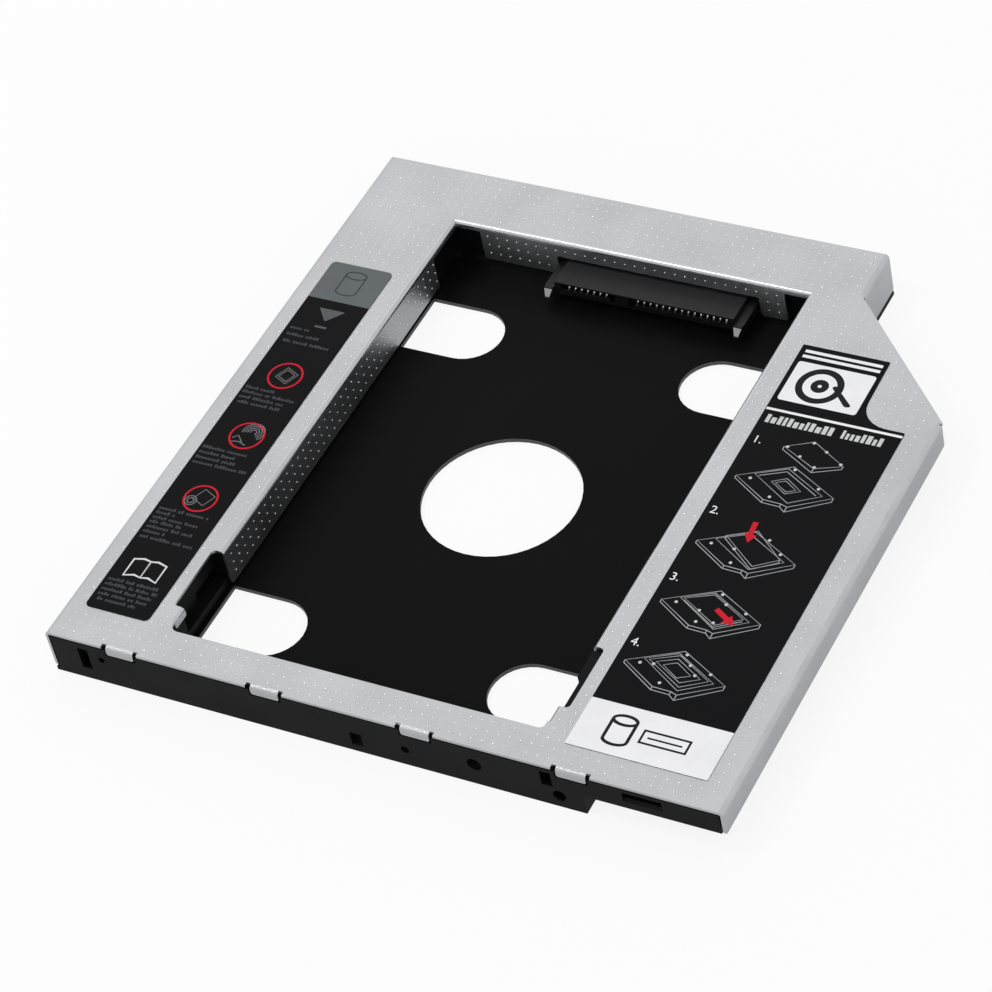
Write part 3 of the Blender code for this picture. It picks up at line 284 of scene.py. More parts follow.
def bright_solder(color):
    """Reflowed tin solder: bright grey metal with a slightly frosted skin."""
    return surfaced("reflowed_tin_solder", color, 0.1, 0.6, 0.3, 0.08, 0.2, 0.004, METAL)


def tinned_steel(color):
    """Tips of the guide posts, stamped from tinned steel: dull grey metal with fine drag marks."""
    return surfaced("tinned_steel", color, 0.08, 0.7, 0.42, 0.05, 0.15, 0.004, METAL, (1.0, 0.3, 0.3))


def moulded_epoxy(color):
    """Chip body moulded in epoxy: flat grey-black with a fine blasted grain."""
    return surfaced("moulded_epoxy", color, 0.1, 1.5, 0.6, 0.05, 0.1, 0.004, {"IOR": 1.55, DULLED: 0.3})


def printed_film(name, color):
    """Printed polyester film: smooth and satin, with a faint waviness from the sheet below."""
    return surfaced(name, color, 0.04, 6.0, 0.42, 0.03, 1.6, 0.004, {"IOR": 1.5, DULLED: 0.04})


def glass_epoxy_board(mask):
    """Glass-fibre epoxy under green solder mask: glossy, with copper tracks that show as paler lanes."""
    made, tree = empty_material("solder_mask_on_glass_epoxy")
    place = add(tree, "ShaderNodeTexCoord").outputs["Object"]
    lanes = add(tree, "ShaderNodeTexBrick", {
        "Vector": place, "Color1": shade(mask, 1.7), "Color2": mask, "Mortar": shade(mask, 0.7), "Scale": 1.0,
        "Mortar Size": 0.14 * MM, "Brick Width": 6.3 * MM, "Row Height": 1.27 * MM,
    })
    weave = add(tree, "ShaderNodeTexWave", {"Vector": place, "Scale": 1.0 / (2.4 * MM)})
    raised = add(tree, "ShaderNodeBump", {"Height": weave.outputs["Fac"], "Distance": 0.004 * MM})
    shader = add(tree, "ShaderNodeBsdfPrincipled", {
        "Base Color": lanes.outputs["Color"], "Roughness": 0.34, "IOR": 1.55,
        "Normal": raised.outputs["Normal"],
    })
    add(tree, "ShaderNodeOutputMaterial", {"Surface": shader.outputs["BSDF"]})
    return made


def mirrored_rays(tree, path):
    """Socket that is 1 for rays that come off a gloss or through glass."""
    return add(tree, "ShaderNodeMath", {
        0: path.outputs["Is Glossy Ray"], 1: path.outputs["Is Transmission Ray"],
    }, operation="MAXIMUM").outputs[0]


# Share of the floor that shows as even white, to the camera and in reflections.
FLOOR_SHOWN_WHITE = 0.88
FLOOR_MIRRORED_WHITE = 0.5


def paper_floor(color):
    """Matt white paper: it shows as even white and keeps a soft part of the caddy's shadow."""
    made, tree = empty_material("white_paper_floor")
    place = add(tree, "ShaderNodeTexCoord").outputs["Object"]
    fibres = add(tree, "ShaderNodeTexNoise", {"Vector": place, "Scale": 1.0 / (0.9 * MM), "Detail": 2.0})
    tone = add(tree, "ShaderNodeMix", {
        0: fibres.outputs["Fac"], 6: shade(color, 0.98), 7: color,
    }, data_type="RGBA")
    paper = add(tree, "ShaderNodeBsdfDiffuse", {"Color": tone.outputs[2]})
    even = add(tree, "ShaderNodeEmission", {"Color": (1.0, 1.0, 1.0, 1.0), "Strength": 1.0})
    path = add(tree, "ShaderNodeLightPath")
    seen = add(tree, "ShaderNodeMath", {
        0: path.outputs["Is Camera Ray"], 1: FLOOR_SHOWN_WHITE,
    }, operation="MULTIPLY")
    mirrored = add(tree, "ShaderNodeMath", {
        0: mirrored_rays(tree, path), 1: FLOOR_MIRRORED_WHITE,
    }, operation="MULTIPLY")
    share = add(tree, "ShaderNodeMath", {0: seen.outputs[0], 1: mirrored.outputs[0]}, operation="MAXIMUM")
    mixed = add(tree, "ShaderNodeMixShader", {
        0: share.outputs[0], 1: paper.outputs["BSDF"], 2: even.outputs["Emission"],
    })
    add(tree, "ShaderNodeOutputMaterial", {"Surface": mixed.outputs["Shader"]})
    return made


def placed(name, data):
    """New object in the scene."""
    obj = bpy.data.objects.new(name, data)
    bpy.context.scene.collection.objects.link(obj)
    return obj


def show(name, mesh, look):
    """Puts a finished mesh in the scene as a piece that rides on the caddy."""
    obj = placed(name, mesh)
    mesh.materials.clear()
    mesh.materials.append(look)
    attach(obj, "root")
    return obj


def meshed(bm, name, smooth=False):
    """Turns a bmesh of closed shapes into a mesh whose faces point outwards."""
    bmesh.ops.recalc_face_normals(bm, faces=bm.faces)
    for face in bm.faces:
        face.smooth = smooth
    mesh = bpy.data.meshes.new(name)
    bm.to_mesh(mesh)
    bm.free()
    return mesh


def piece(name, bm, look, smooth=False):
    """Shows the closed shapes of a bmesh as one piece."""
    return show(name, meshed(bm, name, smooth), look)


def swept(spots, way):
    """Open strip that a line of spots leaves when it is swept along a way."""
    bm = bmesh.new()
    verts = [bm.verts.new(spot) for spot in spots]
    line = [bm.edges.new(pair) for pair in zip(verts, verts[1:])]
    made = bmesh.ops.extrude_edge_only(bm, edges=line)["geom"]
    far = [item for item in made if isinstance(item, bmesh.types.BMVert)]
    bmesh.ops.translate(bm, verts=far, vec=way)
    return bm


def thickened(bm, thickness):
    """Gives an open strip its thickness, in millimetres."""
    bmesh.ops.recalc_face_normals(bm, faces=bm.faces)
    bmesh.ops.solidify(bm, geom=bm.faces[:], thickness=thickness * MM)


def spheroid(bm, place, radii, segments=8, rings=4):
    """Rounded body, from the matrix of its place and from its radii in metres."""
    matrix = place @ Matrix.Diagonal((*radii, 1.0))
    bmesh.ops.create_uvsphere(bm, u_segments=segments, v_segments=rings, radius=1.0, matrix=matrix)


def dress(names, look):
    """Gives CAD nodes their finish."""
    for name in names:
        mesh = frame["nodes"][name].data
        mesh.materials.clear()
        mesh.materials.append(look)


def nodes_named(start):
    """Names of the CAD nodes that begin alike."""
    return sorted(name for name in frame["nodes"] if name.startswith(start))


def worked_out(obj):
    """Mesh that an object's modifiers or its curve give."""
    bpy.context.view_layer.update()
    return bpy.data.meshes.new_from_object(obj.evaluated_get(bpy.context.evaluated_depsgraph_get()))


def combined(first, second, operation):
    """Mesh of two closed meshes joined, or of the first cut by the second."""
    pair = [placed(mesh.name, mesh) for mesh in (first, second)]
    work = pair[0].modifiers.new("combined", "BOOLEAN")
    work.object, work.operation, work.solver, work.use_self = pair[1], operation, "EXACT", True
    mesh = worked_out(pair[0])
    for obj in pair:
        bpy.data.objects.remove(obj)
    return mesh


# Vertices that lie closer than this, in millimetres, are one.
WELD = 0.002
# Faces that turn less than the first are one flat, edges that turn more than the second are rounded, and
# those that still turn more than the third shade as sharp.
FLAT_TURN, ROUNDED_TURN, SHARP_TURN = radians(1.0), radians(40), radians(50)
# Edges shorter than so many roundings stay as they are.
ROUNDINGS_IN_EDGE = 4.0
# Area of a face, in square metres, that is broad enough to be a flat of its own beside the rounded edges.
BROAD_FACE = 30 * MM * MM


def dressed(node, name, look, edge, change=None):
    """Copy of a solid that stands for it, with its sharp edges rounded.

    The bevel keeps all of a copy's roundings within what its shortest edges leave room for: the cover's have
    next to no width, and soften its shading only. change may give a mesh and how it is first combined.
    """
    bm = bmesh.new()
    bm.from_mesh(frame["nodes"][node].data)
    bmesh.ops.remove_doubles(bm, verts=bm.verts, dist=WELD * MM)
    if change:
        plain = bpy.data.meshes.new(name)
        bm.to_mesh(plain)
        bm.clear()
        bm.from_mesh(combined(plain, *change))
        bmesh.ops.remove_doubles(bm, verts=bm.verts, dist=WELD * MM)
    bmesh.ops.dissolve_limit(bm, angle_limit=FLAT_TURN, verts=bm.verts, edges=bm.edges)
    rounded = [
        item for item in bm.edges
        if item.is_manifold and item.calc_face_angle() > ROUNDED_TURN
        and item.calc_length() > ROUNDINGS_IN_EDGE * edge
    ]
    bmesh.ops.bevel(
        bm, geom=rounded, offset=edge, segments=2, profile=0.5, affect="EDGES", clamp_overlap=True,
        material=-1,
    )
    for face in bm.faces:
        face.smooth = face.calc_area() < BROAD_FACE
    for item in bm.edges:
        item.smooth = item.is_manifold and item.calc_face_angle() < SHARP_TURN
    mesh = bpy.data.meshes.new(name)
    bm.to_mesh(mesh)
    bm.free()
    obj = show(name, mesh, look)
    weighted = obj.modifiers.new("even_faces", "WEIGHTED_NORMAL")
    weighted.keep_sharp = True
    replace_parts(obj, node)
    return obj


def slab(bm, corners, bottom, top):
    """Flat closed shape between two heights, from corners given as (x, y, rounding) in millimetres."""
    verts = [bm.verts.new(at(x, y, bottom)) for x, y, _ in corners]
    face = bm.faces.new(verts)
    raised = bmesh.ops.extrude_face_region(bm, geom=[face])["geom"]
    tops = [item for item in raised if isinstance(item, bmesh.types.BMVert)]
    bmesh.ops.translate(bm, verts=tops, vec=(0.0, 0.0, (top - bottom) * MM))
    for vert, (_, _, rounding) in zip(verts, corners):
        if rounding:
            upright = [item for item in vert.link_edges if abs(item.other_vert(vert).co.z - vert.co.z) > 1e-7]
            bmesh.ops.bevel(
                bm, geom=upright, offset=rounding * MM, segments=6, profile=0.5,
                affect="EDGES", clamp_overlap=False, material=-1,
            )


def bar(bm, left, right, front, back, bottom, top):
    """Upright box, in millimetres from the caddy's corner."""
    low, high = at(left, front, bottom), at(right, back, top)
    spot = Matrix.Translation((low + high) / 2) @ Matrix.Diagonal(high - low).to_4x4()
    bmesh.ops.create_cube(bm, size=1.0, matrix=spot)


def pressed(curve, x, y, level, flatness=1.0):
    """Mesh of a curve or text, pressed flat and laid over the caddy at a place in millimetres."""
    source = placed(curve.name, curve)
    mesh = worked_out(source)
    bpy.data.objects.remove(source)
    mesh.transform(Matrix.Translation(at(x, y, level)) @ Matrix.Diagonal((1.0, 1.0, flatness, 1.0)))
    bm = bmesh.new()
    bm.from_mesh(mesh)
    bmesh.ops.remove_doubles(bm, verts=bm.verts, dist=0.0005 * MM)
    return meshed(bm, curve.name)


def drawn(name, lines, width, level, ink, look):
    """Lines drawn on a label, as raised ink: each is (closed, points), with its points in millimetres."""
    curve = bpy.data.curves.new(name, "CURVE")
    curve.dimensions = "3D"
    curve.fill_mode = "FULL"
    curve.bevel_depth = width / sqrt(2) * MM
    curve.bevel_resolution = 0
    curve.use_fill_caps = True
    for closed, points in lines:
        spline = curve.splines.new("POLY")
        spline.points.add(len(points) - 1)
        for point, (x, y) in zip(spline.points, points):
            point.co = (x * MM, y * MM, 0.0, 1.0)
        spline.use_cyclic_u = closed
    return show(name, pressed(curve, 0.0, 0.0, level, 2 * ink / width), look)


def ring(x, y, radius, steps=28, squash=1.0, start=0.0, turn=2 * pi):
    """Closed circle, ellipse or open arc, as a line for drawn()."""
    full = turn >= 2 * pi
    angles = [start + turn * step / steps for step in range(steps if full else steps + 1)]
    return full, [(x + radius * cos(angle), y + radius * squash * sin(angle)) for angle in angles]


def cylinder(x, top, bottom, radius, squash=0.45):
    """Drawing of a plain cylinder."""
    return (
        ring(x, top, radius, squash=squash),
        (False, [(x - radius, top), (x - radius, bottom)]),
        (False, [(x + radius, top), (x + radius, bottom)]),
        ring(x, bottom, radius, squash=squash, start=pi, turn=pi),
    )


def diamond(x, y, reach, lean=0.35):
    """Square that stands on a corner, a little turned."""
    turns = [lean + pi / 2 * step for step in range(4)]
    return True, [(x + reach * cos(turn), y + reach * sin(turn)) for turn in turns]


def greeked(bm, rng, left, right, y, tall, level, ink):
    """Row of small blocks with the rhythm of a line of print, and no letters in it."""
    x = left
    while x < right:
        for _ in range(rng.randint(2, 8)):
            wide = tall * rng.uniform(0.45, 0.75)
            if x + wide > right:
                break
            bar(bm, x, x + wide, y, y + tall * rng.choice((0.68, 0.72, 1.0)), level - ink, level + ink)
            x += wide + tall * 0.2
        x += tall * 0.6


def label_levels(settings):
    """Heights of a label's underside, of its top, and of its ink, in millimetres."""
    return HEIGHT - 0.01, HEIGHT + settings.film / MM, settings.ink / MM


# The left label, in millimetres: rows of small print (bottom, left, right) and their height, outlines for
# slab(), and lines for drawn().
SMALL_PRINT = 0.72
LEFT_ROWS = (
    (80.3, 4.5, 8.4), (78.6, 4.6, 11.5), (76.8, 4.8, 14.6),
    (63.9, 4.2, 10.5), (62.7, 4.2, 15.4), (61.4, 4.2, 13.8), (60.1, 4.6, 14.2),
    (48.0, 4.2, 13.3), (46.7, 4.2, 12.0), (45.4, 4.2, 12.6), (44.1, 4.3, 15.4),
    (32.1, 4.4, 14.5), (31.0, 4.4, 8.4), (29.8, 4.4, 14.2), (28.7, 4.4, 10.9),
    (27.5, 4.4, 14.2), (26.3, 4.4, 9.0), (25.0, 4.5, 15.2),
    (14.3, 4.4, 14.5), (13.1, 4.4, 14.9), (11.9, 4.4, 15.0), (10.7, 4.4, 15.0), (9.5, 4.9, 13.0),
)
LEFT_OUTLINE = ((3.6, 7.6, 1.0), (16.45, 7.6, 1.0), (16.45, 98.9, 1.0), (3.6, 98.9, 1.0))
LEFT_FIELD = ((3.6, 89.0, 0.0), (16.45, 89.0, 0.0), (16.45, 98.9, 1.0), (3.6, 98.9, 1.0))
LEFT_RINGS = (ring(9.95, 68.7, 3.2), ring(10.75, 52.9, 3.2), ring(10.5, 36.5, 3.1))
LEFT_MARKS = (
    diamond(10.2, 68.8, 2.1), diamond(10.2, 68.8, 1.5),
    *[ring(11.5, 54.0, radius, start=-0.8, turn=4.2) for radius in (0.6, 1.1, 1.6, 2.1)],
    (False, [(8.3, 51.7), (9.2, 52.6), (10.6, 51.2)]), (False, [(8.6, 50.9), (10.0, 51.2), (11.6, 50.6)]),
    diamond(11.0, 36.9, 2.0), ring(8.9, 35.6, 0.6), ring(8.9, 35.6, 1.1),
)
LEFT_LEAVES = (
    (True, [(6.5, 20.0), (8.4, 20.5), (9.8, 20.2), (9.8, 16.3), (8.4, 16.6), (6.5, 16.0)]),
    (True, [(9.8, 20.2), (11.2, 20.5), (13.1, 20.0), (13.1, 16.0), (11.2, 16.6), (9.8, 16.3)]),
)
LEFT_SIGN = ((7.3, 86.8, 0.3), (10.0, 83.6, 0.4), (12.7, 86.8, 0.3))


class CADDY_OT_left_label(bpy.types.Operator):
    """Lays the narrow printed label on the left rail"""

    bl_idname = "caddy.left_label"
    bl_label = "Left label"

    def execute(self, context):
        settings = context.scene.caddy_label
        base, top, ink = label_levels(settings)
        thin = top - ink, top + ink
        bm = bmesh.new()
        slab(bm, LEFT_OUTLINE, base, top)
        piece("left_label_film", bm, printed_film("black_polyester_film", settings.black))
        bm = bmesh.new()
        slab(bm, LEFT_FIELD, *thin)
        piece("left_label_field", bm, printed_film("pale_grey_ink", settings.pale))
        drawn(
            "left_label_cylinder", cylinder(10.0, 96.3, 91.9, 2.1), 0.2, top + ink, ink,
            printed_film("dark_grey_ink", linear("3c4042")),
        )
        drawn("left_label_rings", LEFT_RINGS, 0.26, top, 1.5 * ink, printed_film("red_ink", settings.red))
        mid_grey = printed_film("mid_grey_ink", linear("747678"))
        drawn("left_label_marks", LEFT_MARKS, 0.16, top, 1.2 * ink, mid_grey)
        soft_white = printed_film("soft_white_ink", linear("dcdddc"))
        drawn("left_label_leaves", LEFT_LEAVES, 0.3, top, ink, soft_white)
        bm = bmesh.new()
        slab(bm, LEFT_SIGN, *thin)
        bar(bm, 8.8, 11.2, 81.8, 82.3, *thin)
        piece("left_label_sign", bm, printed_film("sign_grey_ink", linear("5c5d60")))
        bm = bmesh.new()
        rng = Random(7)
        for y, left, right in LEFT_ROWS:
            greeked(bm, rng, left, right, y, SMALL_PRINT, top, ink)
        piece("left_label_print", bm, printed_film("grey_ink", settings.grey))
        return {"FINISHED"}


# Drawings of the four steps on the right label, as lines for drawn(); the tray is lowered for each.
TRAY = (
    (True, [(99.1, 69.5), (107.9, 74.2), (117.3, 69.2), (110.5, 65.0), (109.3, 65.4), (105.9, 65.5)]),
    (False, [
        (99.1, 69.5), (99.1, 68.9), (105.9, 64.8), (109.3, 64.7), (110.5, 63.8), (117.3, 68.3), (117.3, 69.2),
    ]),
    (False, [(105.9, 65.5), (105.9, 64.8)]),
    (False, [(109.3, 65.4), (109.3, 64.7)]),
    (False, [(110.5, 65.0), (110.5, 63.8)]),
    (True, [(102.0, 70.8), (107.2, 73.5), (115.3, 69.1), (110.2, 65.9)]),
)
TRAY_INSIDE = (
    (False, [(102.9, 70.6), (107.2, 72.8), (114.2, 68.9)]),
    (True, [(105.5, 69.9), (107.9, 71.3), (111.3, 69.1), (108.9, 67.8)]),
    (True, [(106.3, 69.8), (107.9, 70.7), (110.4, 69.1), (108.9, 68.3)]),
)
DRIVE_LIFTED = (
    (True, [(104.2, 78.3), (108.9, 80.8), (115.9, 76.7), (111.2, 74.8)]),
    (False, [(104.2, 78.3), (104.2, 77.6), (111.2, 73.8), (115.9, 76.0), (115.9, 76.7)]),
    (False, [(111.2, 74.8), (111.2, 73.8)]),
)
DRIVE_TILTED = (
    (True, [(103.4, 55.9), (108.2, 58.4), (114.4, 53.3), (110.5, 50.6)]),
    (False, [(103.4, 55.9), (103.5, 55.2), (110.5, 49.9), (114.4, 52.6), (114.4, 53.3)]),
)
DRIVE_SEATED = (
    (True, [(102.7, 40.6), (107.3, 42.8), (114.1, 39.1), (110.0, 36.5)]),
    (False, [(102.7, 40.2), (110.0, 36.0), (114.1, 38.6)]),
)
DRIVE_FIXED = (
    (True, [(102.9, 26.3), (107.5, 28.6), (114.3, 24.8), (110.1, 22.2)]),
    (True, [(104.2, 26.2), (107.5, 27.8), (112.8, 24.8), (109.8, 23.1)]),
    (True, [(105.6, 25.9), (107.7, 27.0), (111.0, 25.0), (108.9, 23.9)]),
)
# Screw heads in the drawings, and the red arrows' outlines.
SPOTS = (
    (101.7, 69.6), (106.7, 66.4), (114.0, 70.5), (108.3, 73.6),
    (104.8, 78.4), (108.9, 80.5), (111.8, 79.1), (115.3, 77.0), (111.2, 75.1), (107.8, 76.8),
    (101.7, 53.5), (106.7, 50.3), (114.0, 54.5), (110.9, 57.0), (106.0, 53.4),
    (101.7, 39.4), (106.7, 36.3), (114.0, 40.4), (108.5, 43.2), (110.0, 41.3), (106.2, 38.8), (109.6, 36.9),
    (101.7, 25.2), (106.7, 22.1), (114.0, 26.3), (108.5, 29.1), (110.0, 27.1), (111.6, 25.3), (104.0, 25.6),
)
ARROWS = (
    ((106.5, 60.2), (106.75, 57.3), (107.65, 57.3), (107.5, 60.2)),
    ((106.0, 57.5), (107.5, 55.4), (108.4, 57.3)),
    ((108.6, 39.5), (111.2, 37.9), (111.7, 38.7), (109.1, 40.3)),
    ((110.8, 37.4), (113.0, 37.3), (112.0, 39.3)),
)
# Places of the drawings' numbers.
NUMBER_PLACES = ((98.2, 77.75), (98.2, 60.0), (98.2, 43.75), (98.2, 28.35))
# The right label's outlines for slab(): the film, its front field, its title block and its disc's arm.
RIGHT_OUTLINE = (
    (97.4, 5.5, 0.2), (122.9, 5.5, 0.2), (122.9, 87.2, 0.3), (114.0, 87.2, 5.2), (113.7, 102.8, 0.2),
    (97.2, 102.8, 0.2),
)
RIGHT_FIELD = ((97.4, 5.5, 0.2), (122.9, 5.5, 0.2), (122.9, 15.95, 0.0), (97.4, 15.95, 0.0))
RIGHT_TITLE = ((98.15, 88.75, 0.6), (112.95, 88.75, 0.6), (112.95, 98.7, 0.6), (98.15, 98.7, 0.6))
RIGHT_ARM = ((110.4, 90.0, 0.5), (111.5, 90.5, 0.5), (106.9, 94.6, 0.3), (106.4, 94.0, 0.3))
# Its rules, and the blocks in place of a line of print: their rows, front edge, gap, widths and depths.
RIGHT_RULES = ((97.4, 122.8, 85.9, 86.45), (98.2, 112.9, 99.7, 100.4), (98.2, 112.9, 101.0, 101.7))
BLOCK_ROWS = ((98.4, 111.6), (112.6, 121.3))
BLOCK_FRONT = 82.9
BLOCK_GAP = 0.32
BLOCK_ROOM = 0.9
BLOCK_WIDTHS = (0.5, 0.95)
BLOCK_DEPTHS = (1.45, 1.45, 2.0)
SPOT_RADIUS = 0.3
NUMBER_SIZE = 2.5


def lowered(lines, drop):
    """The same drawing further down the label."""
    return [(closed, [(x, y - drop) for x, y in points]) for closed, points in lines]


class CADDY_OT_right_label(bpy.types.Operator):
    """Lays the wide printed label on the wing"""

    bl_idname = "caddy.right_label"
    bl_label = "Right label"

    def execute(self, context):
        settings = context.scene.caddy_label
        base, top, ink = label_levels(settings)
        thin = top - ink, top + ink
        bm = bmesh.new()
        slab(bm, RIGHT_OUTLINE, base, top)
        piece("right_label_film", bm, printed_film("black_vinyl_film", settings.black))
        white = printed_film("white_ink", settings.white)
        bm = bmesh.new()
        for outline in (RIGHT_FIELD, RIGHT_TITLE):
            slab(bm, outline, *thin)
        for rule in RIGHT_RULES:
            bar(bm, *rule, *thin)
        piece("right_label_fields", bm, white)
        dark = printed_film("black_ink", linear("222224"))
        disc = ring(104.2, 93.7, 1.0), ring(104.2, 93.7, 3.7, 40)
        drawn("right_label_disc", disc, 0.9, top + ink, ink, dark)
        bm = bmesh.new()
        slab(bm, RIGHT_ARM, top, top + 2.5 * ink)
        bar(bm, 109.9, 116.1, 10.45, 10.8, top, top + 2 * ink)
        piece("right_label_blocks", bm, dark)
        case = (True, [(108.9, 9.4), (117.1, 9.4), (117.1, 12.0), (108.9, 12.0)])
        drawn("right_label_case", [case], 0.42, top + ink, ink, dark)
        drawn("right_label_cylinder", cylinder(104.95, 12.9, 8.6, 2.15), 0.42, top + ink, ink, dark)
        lines = [*TRAY, *TRAY_INSIDE, *DRIVE_LIFTED, *lowered(TRAY, 16.1), *DRIVE_TILTED]
        lines += [*lowered(TRAY, 30.3), *DRIVE_SEATED, *lowered(TRAY, 44.5), *DRIVE_FIXED]
        drawn("right_label_drawings", lines, 0.12, top, ink, printed_film("line_grey_ink", settings.line))
        bm = bmesh.new()
        for x, y in SPOTS:
            bmesh.ops.create_cone(
                bm, cap_ends=True, segments=10, radius1=SPOT_RADIUS * MM, radius2=SPOT_RADIUS * MM,
                depth=2 * ink * MM, matrix=Matrix.Translation(at(x, y, top)),
            )
        rng = Random(11)
        for left, right in BLOCK_ROWS:
            x = left
            while x + BLOCK_ROOM < right:
                wide = rng.uniform(*BLOCK_WIDTHS)
                bar(bm, x, x + wide, BLOCK_FRONT, BLOCK_FRONT + rng.choice(BLOCK_DEPTHS), *thin)
                x += wide + BLOCK_GAP
        piece("right_label_spots", bm, printed_film("pale_ink", linear("cfd0d0")))
        bm = bmesh.new()
        for index, outline in enumerate(ARROWS):
            slab(bm, [(x, y, 0.0) for x, y in outline], top, top + (2 + 0.2 * (index % 2)) * ink)
        piece("right_label_arrows", bm, printed_film("arrow_red_ink", settings.red))
        for number, (x, y) in enumerate(NUMBER_PLACES, start=1):
            text = bpy.data.curves.new(f"right_label_number_{number}", "FONT")
            text.body = f"{number}."
            text.size = NUMBER_SIZE * MM
            text.extrude = settings.ink
            show(text.name, pressed(text, x, y, top), white)
        return {"FINISHED"}


# A skin is flat where it faces the sight and is even within this many millimetres.
FACING = 0.999
UNEVENNESS = 0.01


def struck(trees, spot, way, reach, sides, margin):
    """How far off the first tree's skin is, or None where it isn't flat or another tree lies on it."""
    depths = []
    for aside in (Vector(), *(side * turn for side in sides for turn in (-margin, margin))):
        hit, *others = [tree.ray_cast(spot + aside, way, reach * MM) for tree in trees]
        if hit[0] is None or any(other[0] is not None for other in others) or hit[1].dot(way) > -FACING:
            return None
        depths.append(hit[3])
    return depths[0] if max(depths) - min(depths) < UNEVENNESS * MM else None


# Places of the first pips, in millimetres: from the left, from the front, and below the top.
FIRST_PIPS = (0.98, 1.74, 2.2)
# Rows of pips on the flanges.
FLANGE_ROWS = 3
# How high above the top a sight starts and how far it reaches, and how far past the well a flange may lie.
SIGHT = (5, 5.1)
PAST_WELL = 1.0


def pip_sights(pitch):
    """Rows of sights along which the sheet may have a pip: (spots, way, reach in millimetres, sides)."""
    across, along, up = Vector((1, 0, 0)), Vector((0, 1, 0)), Vector((0, 0, 1))
    first_column, first_row, first_level = FIRST_PIPS
    columns = [first_column + pitch * step for step in range(int(WIDTH / pitch) + 1)]
    rows = [first_row + pitch * step for step in range(int(DEPTH / pitch) + 1)]
    levels = [HEIGHT - first_level - pitch * step for step in range(FLANGE_ROWS)]
    middle = (WELL_LEFT + WELL_RIGHT) / 2, (WELL_FRONT + WELL_BACK) / 2
    half_width = (WELL_RIGHT - WELL_LEFT) / 2 + PAST_WELL
    half_depth = (WELL_BACK - WELL_FRONT) / 2 + PAST_WELL
    for x in columns:
        yield [at(x, y, HEIGHT + SIGHT[0]) for y in rows], -up, SIGHT[1], (across, along)
    for z in levels:
        for way in (across, -across):
            yield [at(middle[0], y, z) for y in rows], way, half_width, (along, up)
        yield [at(x, middle[1], z) for x in columns], along, half_depth, (across, up)


# The sheet's thickness and the outside radius of its folds, in millimetres.
SHEET = 0.5
BEND = 0.8
# The rear edge runs straight over its tabs: a strip closes the gap that the solid has over each tab's fold.
REAR_TAB_MIDDLES = (12.0, 34.0, 56.0)
REAR_STRIP_WIDTH = 7.15
# Slits at the folds' ends, which the solid has and the sheet doesn't: (left, front) of each, and their width.
SLITS = ((WIDTH - BEND, 91.2), (101.8, 117.2), (WELL_LEFT - BEND, 8.7), (WELL_RIGHT, 8.7))
SLIT = 0.3
# The opening's back corners, rounded between the folds: (place across, way into the opening).
BACK_CORNERS = ((WELL_LEFT - BEND, 1), (WELL_RIGHT + BEND, -1))
BACK_CORNER_RADIUS = 1.1
# How far a rear strip and a corner web reach into the sheet.
STRIP_SEAT = 0.05
WEB_SEAT = 0.3
# A small face that is neither upright nor level belongs to a fold: bounds of its normal's upward part.
FOLD_LEAN = (0.1, 0.995)


def corner_web(bm, x, side):
    """Web of sheet that rounds one back corner of the opening."""
    back, radius = WELL_BACK + BEND, BACK_CORNER_RADIUS
    turns = [pi - pi / 2 * step / 6 for step in range(7)]
    arc = [(x + side * radius * (1 + cos(turn)), back - radius * (1 - sin(turn))) for turn in turns]
    seat = x - side * WEB_SEAT
    outline = [(seat, back - radius), *arc, (x + side * radius, back + WEB_SEAT), (seat, back + WEB_SEAT)]
    slab(bm, [(*spot, 0.0) for spot in outline], HEIGHT - SHEET, HEIGHT)


